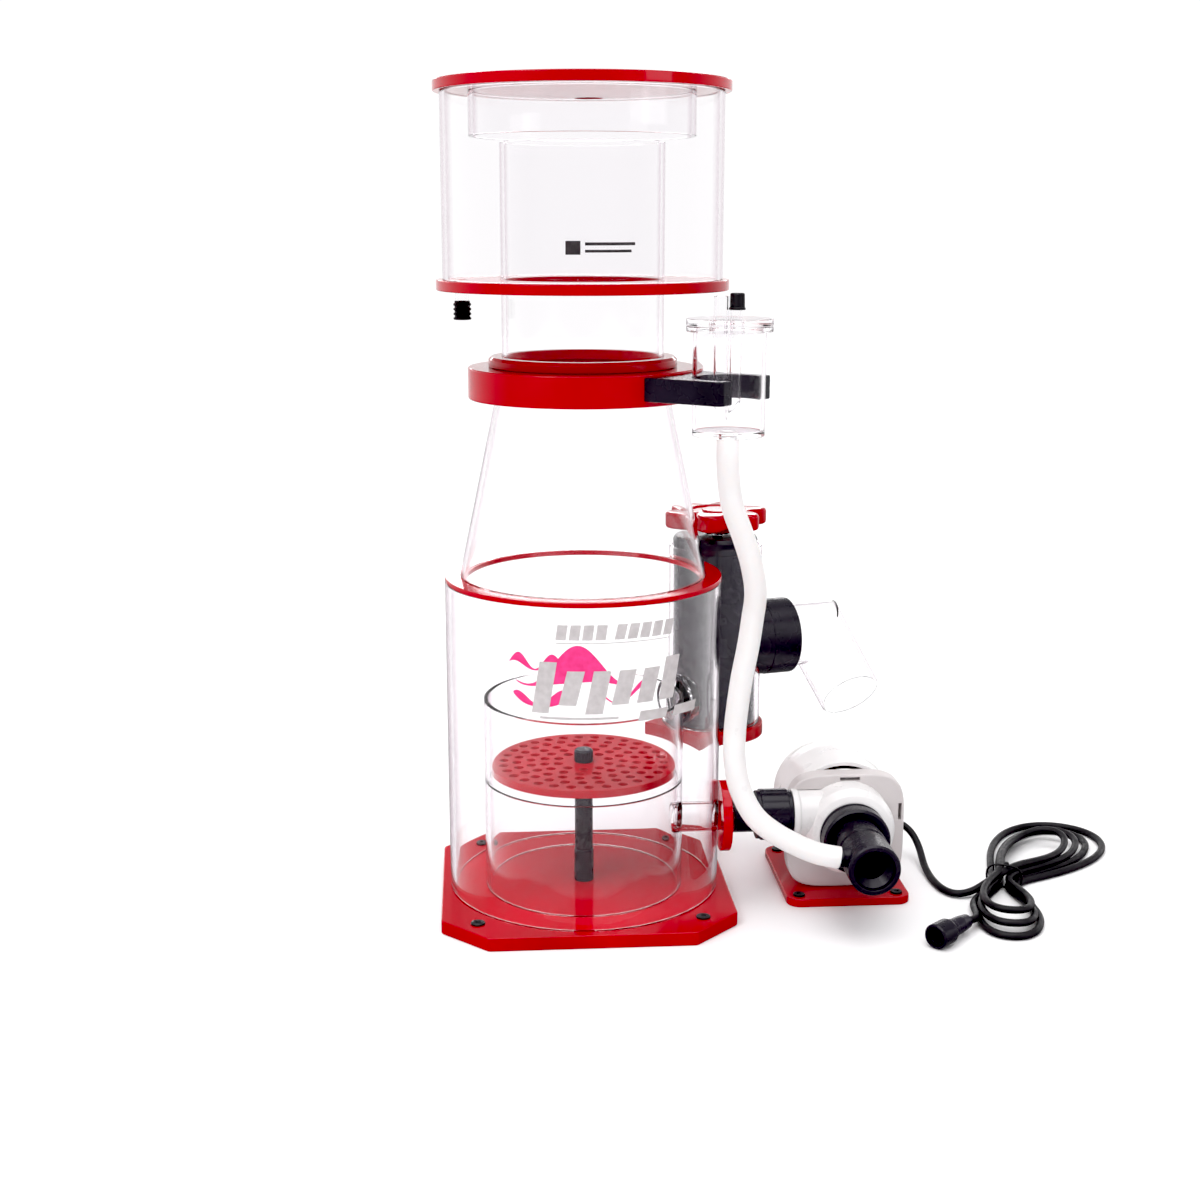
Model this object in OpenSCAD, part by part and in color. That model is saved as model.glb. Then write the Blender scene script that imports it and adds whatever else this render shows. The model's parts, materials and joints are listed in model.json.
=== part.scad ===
// Protein skimmer with collection cup, air silencer, outlet valve and needle-wheel pump.
// Millimetres, +Z up. The origin is on the skimmer's axis at the underside of the base plate.
// +X points from the skimmer towards the pump, -Y is the side that carries the silencer.

/* [Base plate] */
// Distance of the base plate's edge from the body tube
base_margin = 6; // [4:0.5:30]
// Thickness of the base plate
base_t = 10; // [6:0.5:16]
// Length cut off each corner, along an edge
base_chamfer = 33; // [15:1:45]
// Distance of the corner plugs from the plate's edges
base_plug_inset = 26; // [16:1:40]
// Radius of the corner plugs
base_plug_r = 4.5; // [3:0.1:7]

/* [Reaction body] */
// Outer radius of the body tube
body_r = 100; // [83:0.5:120]
// Wall of the body tube
body_wall = 4; // [3:0.1:6]
// Height of the body tube above the base plate
body_h = 231.5; // [190:0.5:280]
// Thickness of the ring that closes the body tube
top_ring_t = 3.5; // [2.5:0.1:6]
// Width of the step between the body tube and the cone
cone_step = 11; // [7:0.5:14]
// Width of the collar that the cone's top reaches under
cone_lip = 1.5; // [1:0.1:4]
// Height of the cone
cone_h = 127; // [90:1:160]
// Wall of the cone
cone_wall = 3; // [2:0.1:4]

/* [Bubble chamber] */
// Gap between the body tube's outside and the inner chamber
chamber_gap = 26.5; // [22:0.5:28]
// Wall of the inner chamber
chamber_wall = 3.5; // [2.5:0.1:5]
// Height of the lower chamber ring above the base plate
chamber_low_h = 82.5; // [80:0.5:100]
// Height of the upper chamber ring
chamber_high_h = 60.5; // [30:0.5:80]
// Radial gap between bubble plate and chamber wall
plate_gap = 2; // [1:0.1:4]
// Thickness of the bubble plate
plate_t = 5.6; // [3:0.1:8]
// Radius of the holes in the bubble plate
plate_hole_r = 3.5; // [2:0.1:4]
// Height of the post above the base plate
post_h = 87.2; // [84:0.1:110]
// Radius of the post
post_r = 7.2; // [5:0.1:10]
// Radius of the pin on top of the post
post_pin_r = 3; // [2:0.1:4]
// Height of the lifting knob
plate_knob_h = 9.5; // [8:0.1:14]

/* [Inlet] */
// Outer radius of the inlet pipe
inlet_r = 11; // [9:0.1:13]
// Wall of the inlet pipe
inlet_wall = 1.8; // [1.2:0.1:2.5]
// Height of the inlet axis
inlet_z = 66.5; // [55:0.5:72]
// Offset of the inlet axis from the skimmer's axis
inlet_y = -26; // [-34:0.5:-20]
// Radius of the inlet flange
flange_r = 26; // [22:0.5:28]
// Thickness of the inlet flange
flange_t = 7; // [4:0.1:9]
// Radius of the union nut
union_r = 18.4; // [17:0.1:22]
// Length of the union nut
union_len = 26; // [20:0.5:28]
// Length of the sleeve between pipe and union
sleeve_len = 17; // [12:0.5:24]

/* [Outlet valve] */
// Gap between the body tube and the riser tube
riser_gap = 2.5; // [2:0.1:8]
// Direction of the valve, seen from above
valve_dir = 37.3; // [30:0.1:60]
// Outer radius of the riser tube
riser_r = 35; // [33:0.1:42]
// Wall of the riser tube
riser_wall = 3; // [2:0.1:3.5]
// Height of the riser's foot plate above the ground
riser_z = 97.5; // [80:0.5:110]
// Thickness of the riser's foot plate
riser_base_t = 10; // [6:0.5:14]
// Height of the riser tube's top above the body tube's
riser_rise = 8.5; // [2:0.5:30]
// Radial gap between riser tube and valve body
valve_gap = 1; // [0.5:0.1:2]
// Wall of the valve body
valve_wall = 3.5; // [2.5:0.1:5]
// Height of the valve cap
valve_cap_h = 12; // [8:0.5:16]
// Height of the outlet axis
outlet_z = 172; // [170:0.5:176]
// Direction of the outlet, seen from above
outlet_dir = 14.4; // [0:0.1:30]
// Outer radius of the outlet socket
socket_r = 29.8; // [28:0.1:30.5]
// Distance from the valve's axis to the socket's face
socket_len = 61; // [56:0.5:70]
// Outer radius of the outlet spout
spout_r = 25; // [22:0.1:26]
// Wall of the outlet spout
spout_wall = 2; // [1.5:0.1:3]
// Depth of the spout in its socket
spout_depth = 19; // [12:0.5:22]
// Distance from the socket's face to the spout's bend
spout_run = 26; // [18:0.5:40]
// Length of the spout beyond its bend
spout_drop = 63; // [45:0.5:80]
// Angle of the spout's bend
spout_bend = 60; // [30:1:70]
// Radius of the knob over its lobes
knob_r = 39.3; // [34:0.1:44]
// Thickness of the knob
knob_t = 12.5; // [8:0.1:16]
// Radius of the valve stem
stem_r = 4; // [3:0.1:5]
// Travel of the gate
gate_travel = 45; // [30:0.5:46]

/* [Collar and cup] */
// Width of the collar, from its bore to its rim
collar_w = 20.5; // [16:0.5:24]
// Height of the collar
collar_h = 22; // [18:0.5:26]
// Outer radius of the neck tube
neck_r = 57; // [47.5:0.5:68.5]
// Wall of the neck tube
neck_wall = 3; // [2:0.1:4]
// Radial gap between neck tube and collar
neck_gap = 3.5; // [3:0.1:5]
// Width of the ring that rests on the collar
seat_ring_w = 9.5; // [7:0.5:14]
// Height of the ring that rests on the collar
seat_ring_h = 7; // [5:0.5:10]
// Clear height from the collar to the cup's floor
neck_clear = 53; // [40:0.5:70]
// Width of the rim that the cup's floor and lid stand out beyond its wall
cup_lip = 4.5; // [2:0.5:8]
// Thickness of the cup's floor
cup_floor_t = 7.3; // [5:0.1:10]
// Outer radius of the cup's wall
cup_r = 97.5; // [94:0.5:117]
// Wall of the cup
cup_wall_t = 3.5; // [2.5:0.1:5]
// Height of the cup's wall
cup_h = 124.8; // [110:0.1:150]
// Height of the neck tube above the cup's floor
neck_rise = 92; // [70:0.5:100]

/* [Lid] */
// Thickness of the lid plate
lid_t = 7; // [5:0.1:9]
// Gap between the cup's wall and the lid's skirt
skirt_gap = 16; // [8:0.5:18]
// Depth of the lid's skirt
skirt_h = 29.5; // [15:0.5:32]
// Radius of the lid's vent disc
vent_r = 10; // [6:0.1:13]

/* [Cup drain] */
// Distance of the drain from the cup's outside
drain_inset = 13.5; // [10:0.5:18]
// Outer radius of the drain tube
drain_r = 4.6; // [4:0.1:6]
// Length of the drain tube below the floor
drain_len = 15; // [12:0.5:20]
// Outer radius of the drain plug
drain_plug_r = 6.2; // [6.1:0.1:8]
// Height of the drain plug
drain_plug_h = 13; // [10:0.5:16]

/* [Silencer] */
// Gap between the collar and the silencer's body
silencer_gap = 13.3; // [12.5:0.1:16]
// Direction of the silencer, seen from above
silencer_dir = -38.5; // [-45:0.1:-33]
// Outer radius of the silencer's body
silencer_r = 24.5; // [22:0.1:26]
// Wall of the silencer's body
silencer_wall = 2; // [1.5:0.1:3]
// Height of the silencer's body
silencer_h = 73; // [60:0.5:90]
// Width of the silencer's flange
silencer_lip = 4.5; // [2.5:0.1:6]
// Height of the bracket
bracket_h = 16; // [10:0.5:20]
// Width of each arm of the bracket
bracket_arm = 9.5; // [7:0.5:12]
// Outer radius of the air inlet tube
air_tube_r = 5; // [4:0.1:5.2]
// Outer radius of the bleed tube
bleed_tube_r = 4; // [3:0.1:4.2]

/* [Pump] */
// Length of the discharge port, to the pump's axis
port_len = 42.54; // [40:0.01:60]
// Height of the motor shell above the pump's base plate
pump_lift = 6.5; // [5:0.5:9]
// Thickness of the pump's base plate
pump_base_t = 6; // [4:0.5:8]
// Distance of the pump's base plate's edge from its cover
pump_margin = 2; // [0:0.5:12]
// Length of the pump's base plate
pump_base_len = 112; // [104:1:130]
// Width and height of the front cover
cover_w = 88; // [73:0.5:92]
// Thickness of the front cover
cover_t = 14; // [10:0.5:18]
// Radius of the pump chamber
volute_r = 33; // [30:0.5:36]
// Depth of the pump chamber in front of the cover
volute_t = 24; // [20:0.5:30]
// Radius of the discharge port
port_r = 17; // [14:0.1:18]
// Step between the cover's edge and the motor shell
shell_inset = 0.5; // [0:0.1:2]
// Length of the motor shell
shell_len = 84; // [76:0.5:95]
// Width of the intake ring round the nozzle
intake_ring_w = 6.1; // [4:0.1:8]
// Outer radius of the intake nozzle
nozzle_r = 18.4; // [16:0.1:20]
// Radius of the intake bore
nozzle_bore_r = 9; // [7:0.1:11]
// Length of the intake nozzle
nozzle_len = 55; // [48:0.5:60]
// Radius of the pump's shaft
shaft_r = 2.5; // [2:0.1:3.5]
// Radial running clearance of the rotor on its shaft
shaft_gap = 0.05; // [0.02:0.01:0.1]

/* [Hose and cord] */
// Outer diameter of the air hose
hose_d = 15.5; // [12:0.5:16]
// Diameter of the pump cord
cord_d = 5.5; // [5:0.5:6]

/* [Hidden] */
$fn = 96;
eps = 0.01;
slip = 0.4;              // radial gap between pieces that slide on each other
seat = 0.3;              // axial gap under a piece that rests on another
glue = 0.2;              // radial gap of a bonded joint

base_w = 2 * (body_r + base_margin);
base_top = base_t;
body_top = base_top + body_h;
cone_z = body_top + top_ring_t;
collar_z = cone_z + cone_h;
collar_top = collar_z + collar_h;
collar_bore = neck_r + neck_gap;
collar_r = collar_bore + collar_w;
cone_foot_r = body_r - cone_step;
cone_top_r = collar_bore + cone_lip;
seat_ring_r = neck_r + seat_ring_w;
cup_plate_r = cup_r + cup_lip;
skirt_r = cup_r - cup_wall_t - skirt_gap;
drain_x = cup_r - drain_inset;
seat_ring_z = collar_top + seat;
floor_z = collar_top + neck_clear;
floor_top = floor_z + cup_floor_t;
neck_z = collar_z + 4;
neck_top = floor_top + neck_rise;
wall_top = floor_top + cup_h;
lid_z = wall_top + seat;
lid_top = lid_z + lid_t;
vent_at = [9, 66];

chamber_r = body_r - chamber_gap;
chamber_in = chamber_r - chamber_wall;
chamber_mid = base_top + chamber_low_h;
plate_r = chamber_in - plate_gap;
plate_z = base_top + post_h;
plate_top = plate_z + plate_t;
post_pin_h = plate_t + 5;
plate_ring_step = 10;    // distance between two rings of holes
plate_hole_step = 12.5;  // distance between two holes of a ring

body_inlet_x = sqrt(body_r * body_r - inlet_y * inlet_y);
flange_x = body_inlet_x + 1.4;
sleeve_x = flange_x + flange_t + 3;
union_x = sleeve_x + sleeve_len;
union_end = union_x + union_len;
port_x = union_end + 0.5;
inlet_tip = sqrt(chamber_in * chamber_in - inlet_y * inlet_y) - 3;
pump_x = port_x + port_len;

valve_dist = body_r + riser_gap + riser_r;
valve_r = riser_r - riser_wall - valve_gap;
valve_in = valve_r - valve_wall;
riser_tube_z = riser_z + riser_base_t;
riser_top = body_top + riser_rise;
riser_h = riser_top - riser_tube_z;
valve_low = riser_tube_z + 1;
valve_top = riser_top - 5;
valve_cap_top = valve_top + valve_cap_h;
duct_z = riser_tube_z + 24;
duct_r = 19;
duct_wall = 3;
gate_h = gate_travel - 1;
gate_r = valve_in - slip;
gate_top = valve_top - 2;
knob_z = valve_cap_top + 7;
stem_low = gate_top - gate_travel - 6;
socket_in = spout_r + slip;

plug_top = floor_z - 7.5;
drain_low = floor_z - drain_len;

silencer_dist = collar_r + silencer_gap + silencer_r;
silencer_lid_r = silencer_r + silencer_lip;
bracket_w = 2 * (silencer_r + bracket_arm);
silencer_top = collar_top + 32;
silencer_z = silencer_top - silencer_h;
silencer_lid_t = 4.5;
silencer_lid_z = silencer_top + 0.5;
air_tube_top = silencer_lid_z + 19;
air_tube_len = 82;
bleed_tube_top = silencer_lid_z + 18;
bleed_tube_len = 76;
bleed_cap_h = 11;
tube_a = -5.8;           // places of the two silencer tubes, along the line that joins them
tube_b = 4;
bracket_z = collar_z + 4;
bracket_reach = silencer_dist + 14.2;

pump_base_w = cover_w + 2 * pump_margin;
shell_r = cover_w / 2 - shell_inset;
pump_z = pump_base_t + pump_lift + shell_r;
intake_ring_r = nozzle_r + intake_ring_w;
pump_y = -22;            // front face of the pump's cover
cover_back = pump_y + cover_t;
volute_front = pump_y - volute_t;
intake_ring_t = 16;
nozzle_front = volute_front - intake_ring_t - nozzle_len;
mouth_r = 14;            // mouth of the pump chamber
pump_y_mid = 11;
plug_inset = 9.5;
motor_wall = 3;
stator_in = 18;
stator_r = shell_r - motor_wall - 6.5;
magnet_r = 14.5;
impeller_r = volute_r - 7;
bush_r = 6;
bush_len = 7;
bush_front = cover_back - 20;
shaft_back = cover_back + 56;
barb_y = -102;
barb_z = 61;
barb_x = 172;
gland_y = 62;
gland_z = 26;
gland_root = pump_x + 20;
gland_start = pump_x + 33;
gland_x = pump_x + 54;

// Route of the air hose, from the silencer's underside to the pump's intake.
hose_route = [
    [93, -74, silencer_z], [93, -74, 338], [94, -74, 322], [97, -75, 304], [104, -76, 285],
    [110, -77, 266], [113, -79, 246], [111, -80, 227], [108, -82, 208], [104, -84, 188],
    [101, -86, 168], [99, -88, 149], [99, -90, 129], [103, -92, 109], [113, -94, 90],
    [127, -96, 78], [142, -99, 70], [157, -101, 64], [barb_x, barb_y, barb_z]
];
// Route of the pump cord, from its strain relief to the hank.
cord_route = [
    [gland_x, gland_y, gland_z], [257, 60, 25], [264, 52, 20], [267, 38, 12], [266, 20, 5.5],
    [266, 2, 3], [267, -15, 3], [270, -28, 3], [277, -37, 3.5], [290, -35, 5.5],
    [304, -27, 10]
];
// The hank: its tie, and the direction, reach and half width of its two lobes.
tie_at = [318, -18];
tie_r = 13;
lobe_far = [50, 150, 40];
lobe_near = [258, 110, 28];
hank_h = 17;
connector_at = [236, -124];
connector_to = [266, -98];
connector_r = 9;
connector_z = 9;

ACRYLIC = [0.78, 0.02, 0.06];
CLEAR = [0.9, 0.93, 0.96, 0.35];
BLACK = [0.08, 0.08, 0.09];
WHITE = [0.93, 0.93, 0.92];
GREY = [0.8, 0.79, 0.78];
SILICONE = [0.93, 0.92, 0.9];
STEEL = [0.7, 0.7, 0.72];
COPPER = [0.72, 0.42, 0.2];
PINK = [0.95, 0.75, 0.75];
MAGNET = [0.25, 0.25, 0.27];

// ---- helpers ----

// A tube along Z, from z0 to z1.
module pipe(ro, ri, z0, z1) {
    difference() {
        translate([0, 0, z0]) cylinder(r = ro, h = z1 - z0);
        translate([0, 0, z0 - 1]) cylinder(r = ri, h = z1 - z0 + 2);
    }
}

// A solid rod along +X at height z and offset y, from x0 to x1.
module rod_x(r, x0, x1, y, z) {
    translate([x0, y, z]) rotate([0, 90, 0]) cylinder(r = r, h = x1 - x0);
}

// A solid rod along the pump's axis, from y0 (front) to y1 (back).
module rod_y(r, y0, y1) {
    translate([pump_x, y0, pump_z]) rotate([-90, 0, 0]) cylinder(r = r, h = y1 - y0);
}

// Children drawn in the valve's frame: origin on its axis, +X along the outlet.
module at_valve() {
    translate([valve_dist * cos(valve_dir), valve_dist * sin(valve_dir), 0])
        rotate([0, 0, outlet_dir]) children();
}

// Children drawn at the silencer's axis; +X points away from the skimmer.
module at_silencer() {
    rotate([0, 0, silencer_dir]) translate([silencer_dist, 0, 0]) children();
}

// A square with rounded corners, made of circles and squares only.
module round_square(w, h, r) {
    translate([-w / 2 + r, -h / 2]) square([w - 2 * r, h]);
    translate([-w / 2, -h / 2 + r]) square([w, h - 2 * r]);
    for (sx = [-1, 1], sy = [-1, 1])
        translate([sx * (w / 2 - r), sy * (h / 2 - r)]) circle(r = r);
}

function unit(v) = v / norm(v);
function spline(a, b, c, d, t) =
    0.5 * (2 * b + (c - a) * t + (2 * a - 5 * b + 4 * c - d) * t * t
           + (3 * b - a - 3 * c + d) * t * t * t);
function smooth_route(p, n) = [
    for (i = [0 : len(p) - 2], j = [0 : n - 1])
        spline(p[max(i - 1, 0)], p[i], p[i + 1], p[min(i + 2, len(p) - 1)], j / n),
    p[len(p) - 1]
];
function heading(p, i) = unit(p[min(i + 1, len(p) - 1)] - p[max(i - 1, 0)]);

// A round tube swept along a route: one closed polyhedron.
module sweep(p, r, sides, up) {
    n = len(p);
    points = [
        for (i = [0 : n - 1])
            let (t = heading(p, i), a = unit(cross(up, t)), b = cross(t, a))
                for (k = [0 : sides - 1])
                    p[i] + r * (cos(360 * k / sides) * a + sin(360 * k / sides) * b)
    ];
    walls = [
        for (i = [0 : n - 2], k = [0 : sides - 1])
            let (m = (k + 1) % sides)
                each [[i * sides + k, (i + 1) * sides + k, (i + 1) * sides + m],
                      [i * sides + k, (i + 1) * sides + m, i * sides + m]]
    ];
    first = [for (k = [0 : sides - 1]) k];
    last = [for (k = [0 : sides - 1]) (n - 1) * sides + sides - 1 - k];
    polyhedron(points = points, faces = concat(walls, [first], [last]));
}

// ---- base and body ----

module corner_places(half, inset) {
    for (sx = [-1, 1], sy = [-1, 1])
        translate([sx * (half[0] - inset), sy * (half[1] - inset), 0]) children();
}

module base_plate() {
    h = base_w / 2;
    c = h - base_chamfer;
    color(ACRYLIC) difference() {
        linear_extrude(base_t)
            polygon([[-c, -h], [c, -h], [h, -c], [h, c], [c, h], [-c, h], [-h, c], [-h, -c]]);
        corner_places([h, h], base_plug_inset)
            translate([0, 0, -1]) cylinder(r = base_plug_r, h = base_t + 2);
    }
}

module base_plugs() {
    color(BLACK) corner_places([base_w / 2, base_w / 2], base_plug_inset) {
        cylinder(r = base_plug_r - glue, h = base_t);
        translate([0, 0, base_t]) cylinder(r = base_plug_r + 0.6, h = 1.2);
    }
}

module body_tube() {
    color(CLEAR) difference() {
        pipe(body_r, body_r - body_wall, base_top, body_top);
        rod_x(inlet_r + glue, body_inlet_x - 14, body_r + 4, inlet_y, inlet_z);
        rotate([0, 0, valve_dir]) rod_x(duct_r + glue, body_r - 12, body_r + 4, 0, duct_z);
    }
}

module body_top_ring() {
    color(ACRYLIC) pipe(body_r, cone_foot_r - cone_wall - 2, body_top, cone_z);
}

module cone() {
    color(CLEAR) translate([0, 0, cone_z]) rotate_extrude() polygon([
        [cone_foot_r - cone_wall, 0], [cone_foot_r, 0],
        [cone_top_r, cone_h], [cone_top_r - cone_wall, cone_h]
    ]);
}

module chamber_lower() {
    color(CLEAR) difference() {
        pipe(chamber_r, chamber_r - chamber_wall, base_top, chamber_mid);
        rod_x(inlet_r + glue, inlet_tip - 4, chamber_r + 4, inlet_y, inlet_z);
    }
}

module chamber_upper() {
    color(CLEAR) pipe(chamber_r, chamber_r - chamber_wall, chamber_mid,
                      chamber_mid + chamber_high_h);
}

module plate_post() {
    color(BLACK) {
        translate([0, 0, base_top]) cylinder(r = post_r, h = post_h - seat);
        translate([0, 0, plate_z - seat]) cylinder(r = post_pin_r, h = post_pin_h);
    }
}

module bubble_plate() {
    rings = floor((plate_r - plate_hole_r - 2) / plate_ring_step);
    color(ACRYLIC) difference() {
        translate([0, 0, plate_z]) cylinder(r = plate_r, h = plate_t);
        translate([0, 0, plate_z - 1]) cylinder(r = post_pin_r + slip, h = plate_t + 2);
        for (k = [2 : rings]) {
            r = k * plate_ring_step - 0.5;
            n = round(2 * PI * r / plate_hole_step);
            for (i = [0 : n - 1])
                rotate([0, 0, i * 360 / n + k * 7]) translate([r, 0, plate_z - 1])
                    cylinder(r = plate_hole_r, h = plate_t + 2, $fn = 24);
        }
    }
}

module plate_knob() {
    color(BLACK) difference() {
        translate([0, 0, plate_top]) {
            cylinder(r = post_r - 0.2, h = plate_knob_h - 1.5);
            translate([0, 0, plate_knob_h - 1.5]) cylinder(r = post_r - 1.4, h = 1.5);
        }
        translate([0, 0, plate_top - 1]) cylinder(r = post_pin_r + slip, h = 7);
    }
}

// ---- inlet ----

module inlet_pipe() {
    color(CLEAR) difference() {
        rod_x(inlet_r, inlet_tip, sleeve_x + sleeve_len - 2, inlet_y, inlet_z);
        rod_x(inlet_r - inlet_wall, inlet_tip - 1, union_x + 1, inlet_y, inlet_z);
    }
}

module inlet_flange() {
    color(ACRYLIC) difference() {
        rod_x(flange_r, flange_x, flange_x + flange_t, inlet_y, inlet_z);
        rod_x(inlet_r + glue, flange_x - 1, flange_x + flange_t + 1, inlet_y, inlet_z);
        cylinder(r = body_r + glue, h = body_top);
    }
}

module union_sleeve() {
    color(BLACK) difference() {
        rod_x(inlet_r + 1.6, sleeve_x, union_end, inlet_y, inlet_z);
        rod_x(inlet_r + glue, sleeve_x - 1, union_x - 1.5, inlet_y, inlet_z);
        rod_x(inlet_r - inlet_wall, union_x - 2, union_end + 1, inlet_y, inlet_z);
    }
}

module union_nut() {
    color(BLACK) difference() {
        union() {
            rod_x(union_r, union_x, union_end, inlet_y, inlet_z);
            for (i = [0 : 11])
                translate([union_x + 3, inlet_y, inlet_z]) rotate([i * 30, 0, 0])
                    translate([0, union_r - 0.6, 0]) rotate([0, 90, 0])
                        cylinder(r = 1.1, h = union_len - 6, $fn = 16);
        }
        rod_x(inlet_r + 1.6 + slip, union_x - 1, union_end + 1, inlet_y, inlet_z);
    }
}

// ---- outlet valve ----

module riser_tube() {
    color(CLEAR) difference() {
        at_valve() difference() {
            pipe(riser_r, riser_r - riser_wall, riser_tube_z, riser_top);
            rod_x(socket_r + 0.4, 10, riser_r + 4, 0, outlet_z);
        }
        rotate([0, 0, valve_dir]) rod_x(duct_r + glue, body_r - 2, valve_dist - 20, 0, duct_z);
    }
}

module riser_base() {
    color(ACRYLIC) difference() {
        rotate([0, 0, valve_dir]) {
            translate([valve_dist, 0, riser_z]) cylinder(r = riser_r + 3, h = riser_base_t);
            translate([body_r - 8, -riser_r + 4, riser_z])
                cube([valve_dist - body_r, 2 * riser_r - 8, riser_base_t]);
        }
        cylinder(r = body_r + glue, h = body_top);
    }
}

module riser_duct() {
    color(CLEAR) difference() {
        rotate([0, 0, valve_dir]) difference() {
            rod_x(duct_r, body_r - 5, valve_dist - valve_r + 3, 0, duct_z);
            rod_x(duct_r - duct_wall, body_r - 12, valve_dist, 0, duct_z);
        }
        at_valve() translate([0, 0, valve_low - 1]) cylinder(r = valve_r + 0.4, h = riser_h);
    }
}

module valve_body() {
    color(BLACK) difference() {
        at_valve() difference() {
            pipe(valve_r, valve_in, valve_low, valve_top);
            rod_x(socket_in - 1, 10, riser_r + 4, 0, outlet_z);
        }
        rotate([0, 0, valve_dir]) rod_x(duct_r - duct_wall, body_r, valve_dist - 10, 0, duct_z);
    }
}

module valve_socket() {
    color(BLACK) at_valve() difference() {
        rod_x(socket_r, 20, socket_len, 0, outlet_z);
        rod_x(socket_in - 1, 10, socket_len + 1, 0, outlet_z);
        rod_x(socket_in, socket_len - spout_depth - seat, socket_len + 1, 0, outlet_z);
        translate([0, 0, valve_low]) cylinder(r = valve_r + glue, h = riser_h);
    }
}

module valve_cap() {
    color(BLACK) at_valve() difference() {
        translate([0, 0, valve_top]) {
            cylinder(r = valve_r, h = valve_cap_h - 3);
            translate([0, 0, valve_cap_h - 3]) cylinder(r = valve_r - 2, h = 3);
        }
        translate([0, 0, valve_top - 1]) cylinder(r = stem_r + slip, h = valve_cap_h + 2);
    }
}

module valve_gate() {
    color(BLACK) at_valve() difference() {
        translate([0, 0, gate_top - gate_h]) cylinder(r = gate_r, h = gate_h);
        translate([0, 0, gate_top - gate_h - 1]) cylinder(r = gate_r - 3, h = gate_h - 4);
        translate([0, 0, gate_top - 6]) cylinder(r = stem_r + slip, h = 8);
        translate([-gate_r - 5, -40, gate_top - gate_h]) rotate([0, 12, 0])
            translate([0, 0, -20]) cube([80, 80, 20]);
    }
}

module valve_stem() {
    color(STEEL) at_valve()
        translate([0, 0, stem_low]) cylinder(r = stem_r, h = knob_z + 2 - stem_low);
}

module valve_knob() {
    hub_r = knob_r * 0.6;
    lobe_r = 8.5;
    color(ACRYLIC) at_valve() difference() {
        union() {
            translate([0, 0, knob_z]) cylinder(r = hub_r, h = knob_t);
            translate([0, 0, knob_z - 5]) cylinder(r = 12, h = 5 + eps);
            for (i = [0 : 5]) rotate([0, 0, i * 60 + 10]) {
                translate([knob_r - lobe_r, 0, knob_z]) cylinder(r = lobe_r, h = knob_t);
                translate([10, -lobe_r * 0.8, knob_z])
                    cube([knob_r - lobe_r - 10, lobe_r * 1.6, knob_t]);
            }
        }
        translate([0, 0, knob_z - 6]) cylinder(r = stem_r + glue, h = 8.2);
    }
}

module outlet_spout() {
    bend_x = socket_len + spout_run;
    half = spout_bend / 2;
    color(CLEAR) at_valve() {
        difference() {
            rod_x(spout_r, socket_len - spout_depth, bend_x + spout_r, 0, outlet_z);
            rod_x(spout_r - spout_wall, socket_len - spout_depth - 1, bend_x + spout_r + 1, 0,
                  outlet_z);
            translate([bend_x, 0, outlet_z]) rotate([0, half, 0])
                translate([0.05, -60, -80]) cube([100, 120, 160]);
        }
        translate([bend_x, 0, outlet_z]) rotate([0, spout_bend, 0]) difference() {
            rotate([0, 90, 0]) translate([0, 0, -spout_r])
                cylinder(r = spout_r, h = spout_r + spout_drop);
            rotate([0, 90, 0]) translate([0, 0, -spout_r - 1])
                cylinder(r = spout_r - spout_wall, h = spout_r + spout_drop + 2);
            rotate([0, -half, 0]) translate([-100.05, -60, -80]) cube([100, 120, 160]);
        }
    }
}

// ---- collar, cup and lid ----

module collar_ring() {
    color(ACRYLIC) pipe(collar_r, collar_bore, collar_z, collar_top);
}

module cup_seal() {
    seal_r = (neck_gap - 2 * seat) / 2;
    color(BLACK) translate([0, 0, collar_z + 12]) rotate_extrude()
        translate([neck_r + seat + seal_r, 0]) circle(r = seal_r, $fn = 24);
}

module cup_seat_ring() {
    bevel = 2;
    color(ACRYLIC) translate([0, 0, seat_ring_z]) rotate_extrude() polygon([
        [neck_r + glue, 0], [seat_ring_r, 0], [seat_ring_r, seat_ring_h - bevel],
        [seat_ring_r - bevel, seat_ring_h], [neck_r + glue, seat_ring_h]
    ]);
}

module cup_neck() {
    color(CLEAR) pipe(neck_r, neck_r - neck_wall, neck_z, neck_top);
}

module cup_floor() {
    color(ACRYLIC) difference() {
        pipe(cup_plate_r, neck_r + glue, floor_z, floor_top);
        translate([-drain_x, 0, floor_z - 1]) cylinder(r = drain_r + glue, h = cup_floor_t + 2);
    }
}

module cup_wall() {
    color(CLEAR) pipe(cup_r, cup_r - cup_wall_t, floor_top, wall_top);
}

module drain_tube() {
    color(CLEAR) translate([-drain_x, 0, 0]) pipe(drain_r, drain_r - 1.4, drain_low, floor_top);
}

module drain_plug() {
    rib_step = 3.2;
    color(BLACK) translate([-drain_x, 0, plug_top - drain_plug_h]) difference() {
        union() {
            cylinder(r = drain_plug_r - 0.7, h = drain_plug_h);
            for (i = [0 : 3]) translate([0, 0, i * rib_step + 0.2])
                cylinder(r = drain_plug_r, h = 1.5);
        }
        translate([0, 0, 2.5]) cylinder(r = drain_r + slip, h = drain_plug_h);
    }
}

module lid_plate() {
    color(ACRYLIC) difference() {
        translate([0, 0, lid_z]) cylinder(r = cup_plate_r, h = lid_t);
        translate([vent_at[0], vent_at[1], lid_z - 1])
            cylinder(r = vent_r + glue, h = lid_t + 2);
    }
}

module lid_skirt() {
    color(CLEAR) pipe(skirt_r, skirt_r - 3, lid_z - skirt_h, lid_z);
}

module lid_vent() {
    color(PINK) translate([vent_at[0], vent_at[1], lid_z + 2])
        cylinder(r = vent_r, h = lid_t - 3);
}

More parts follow.
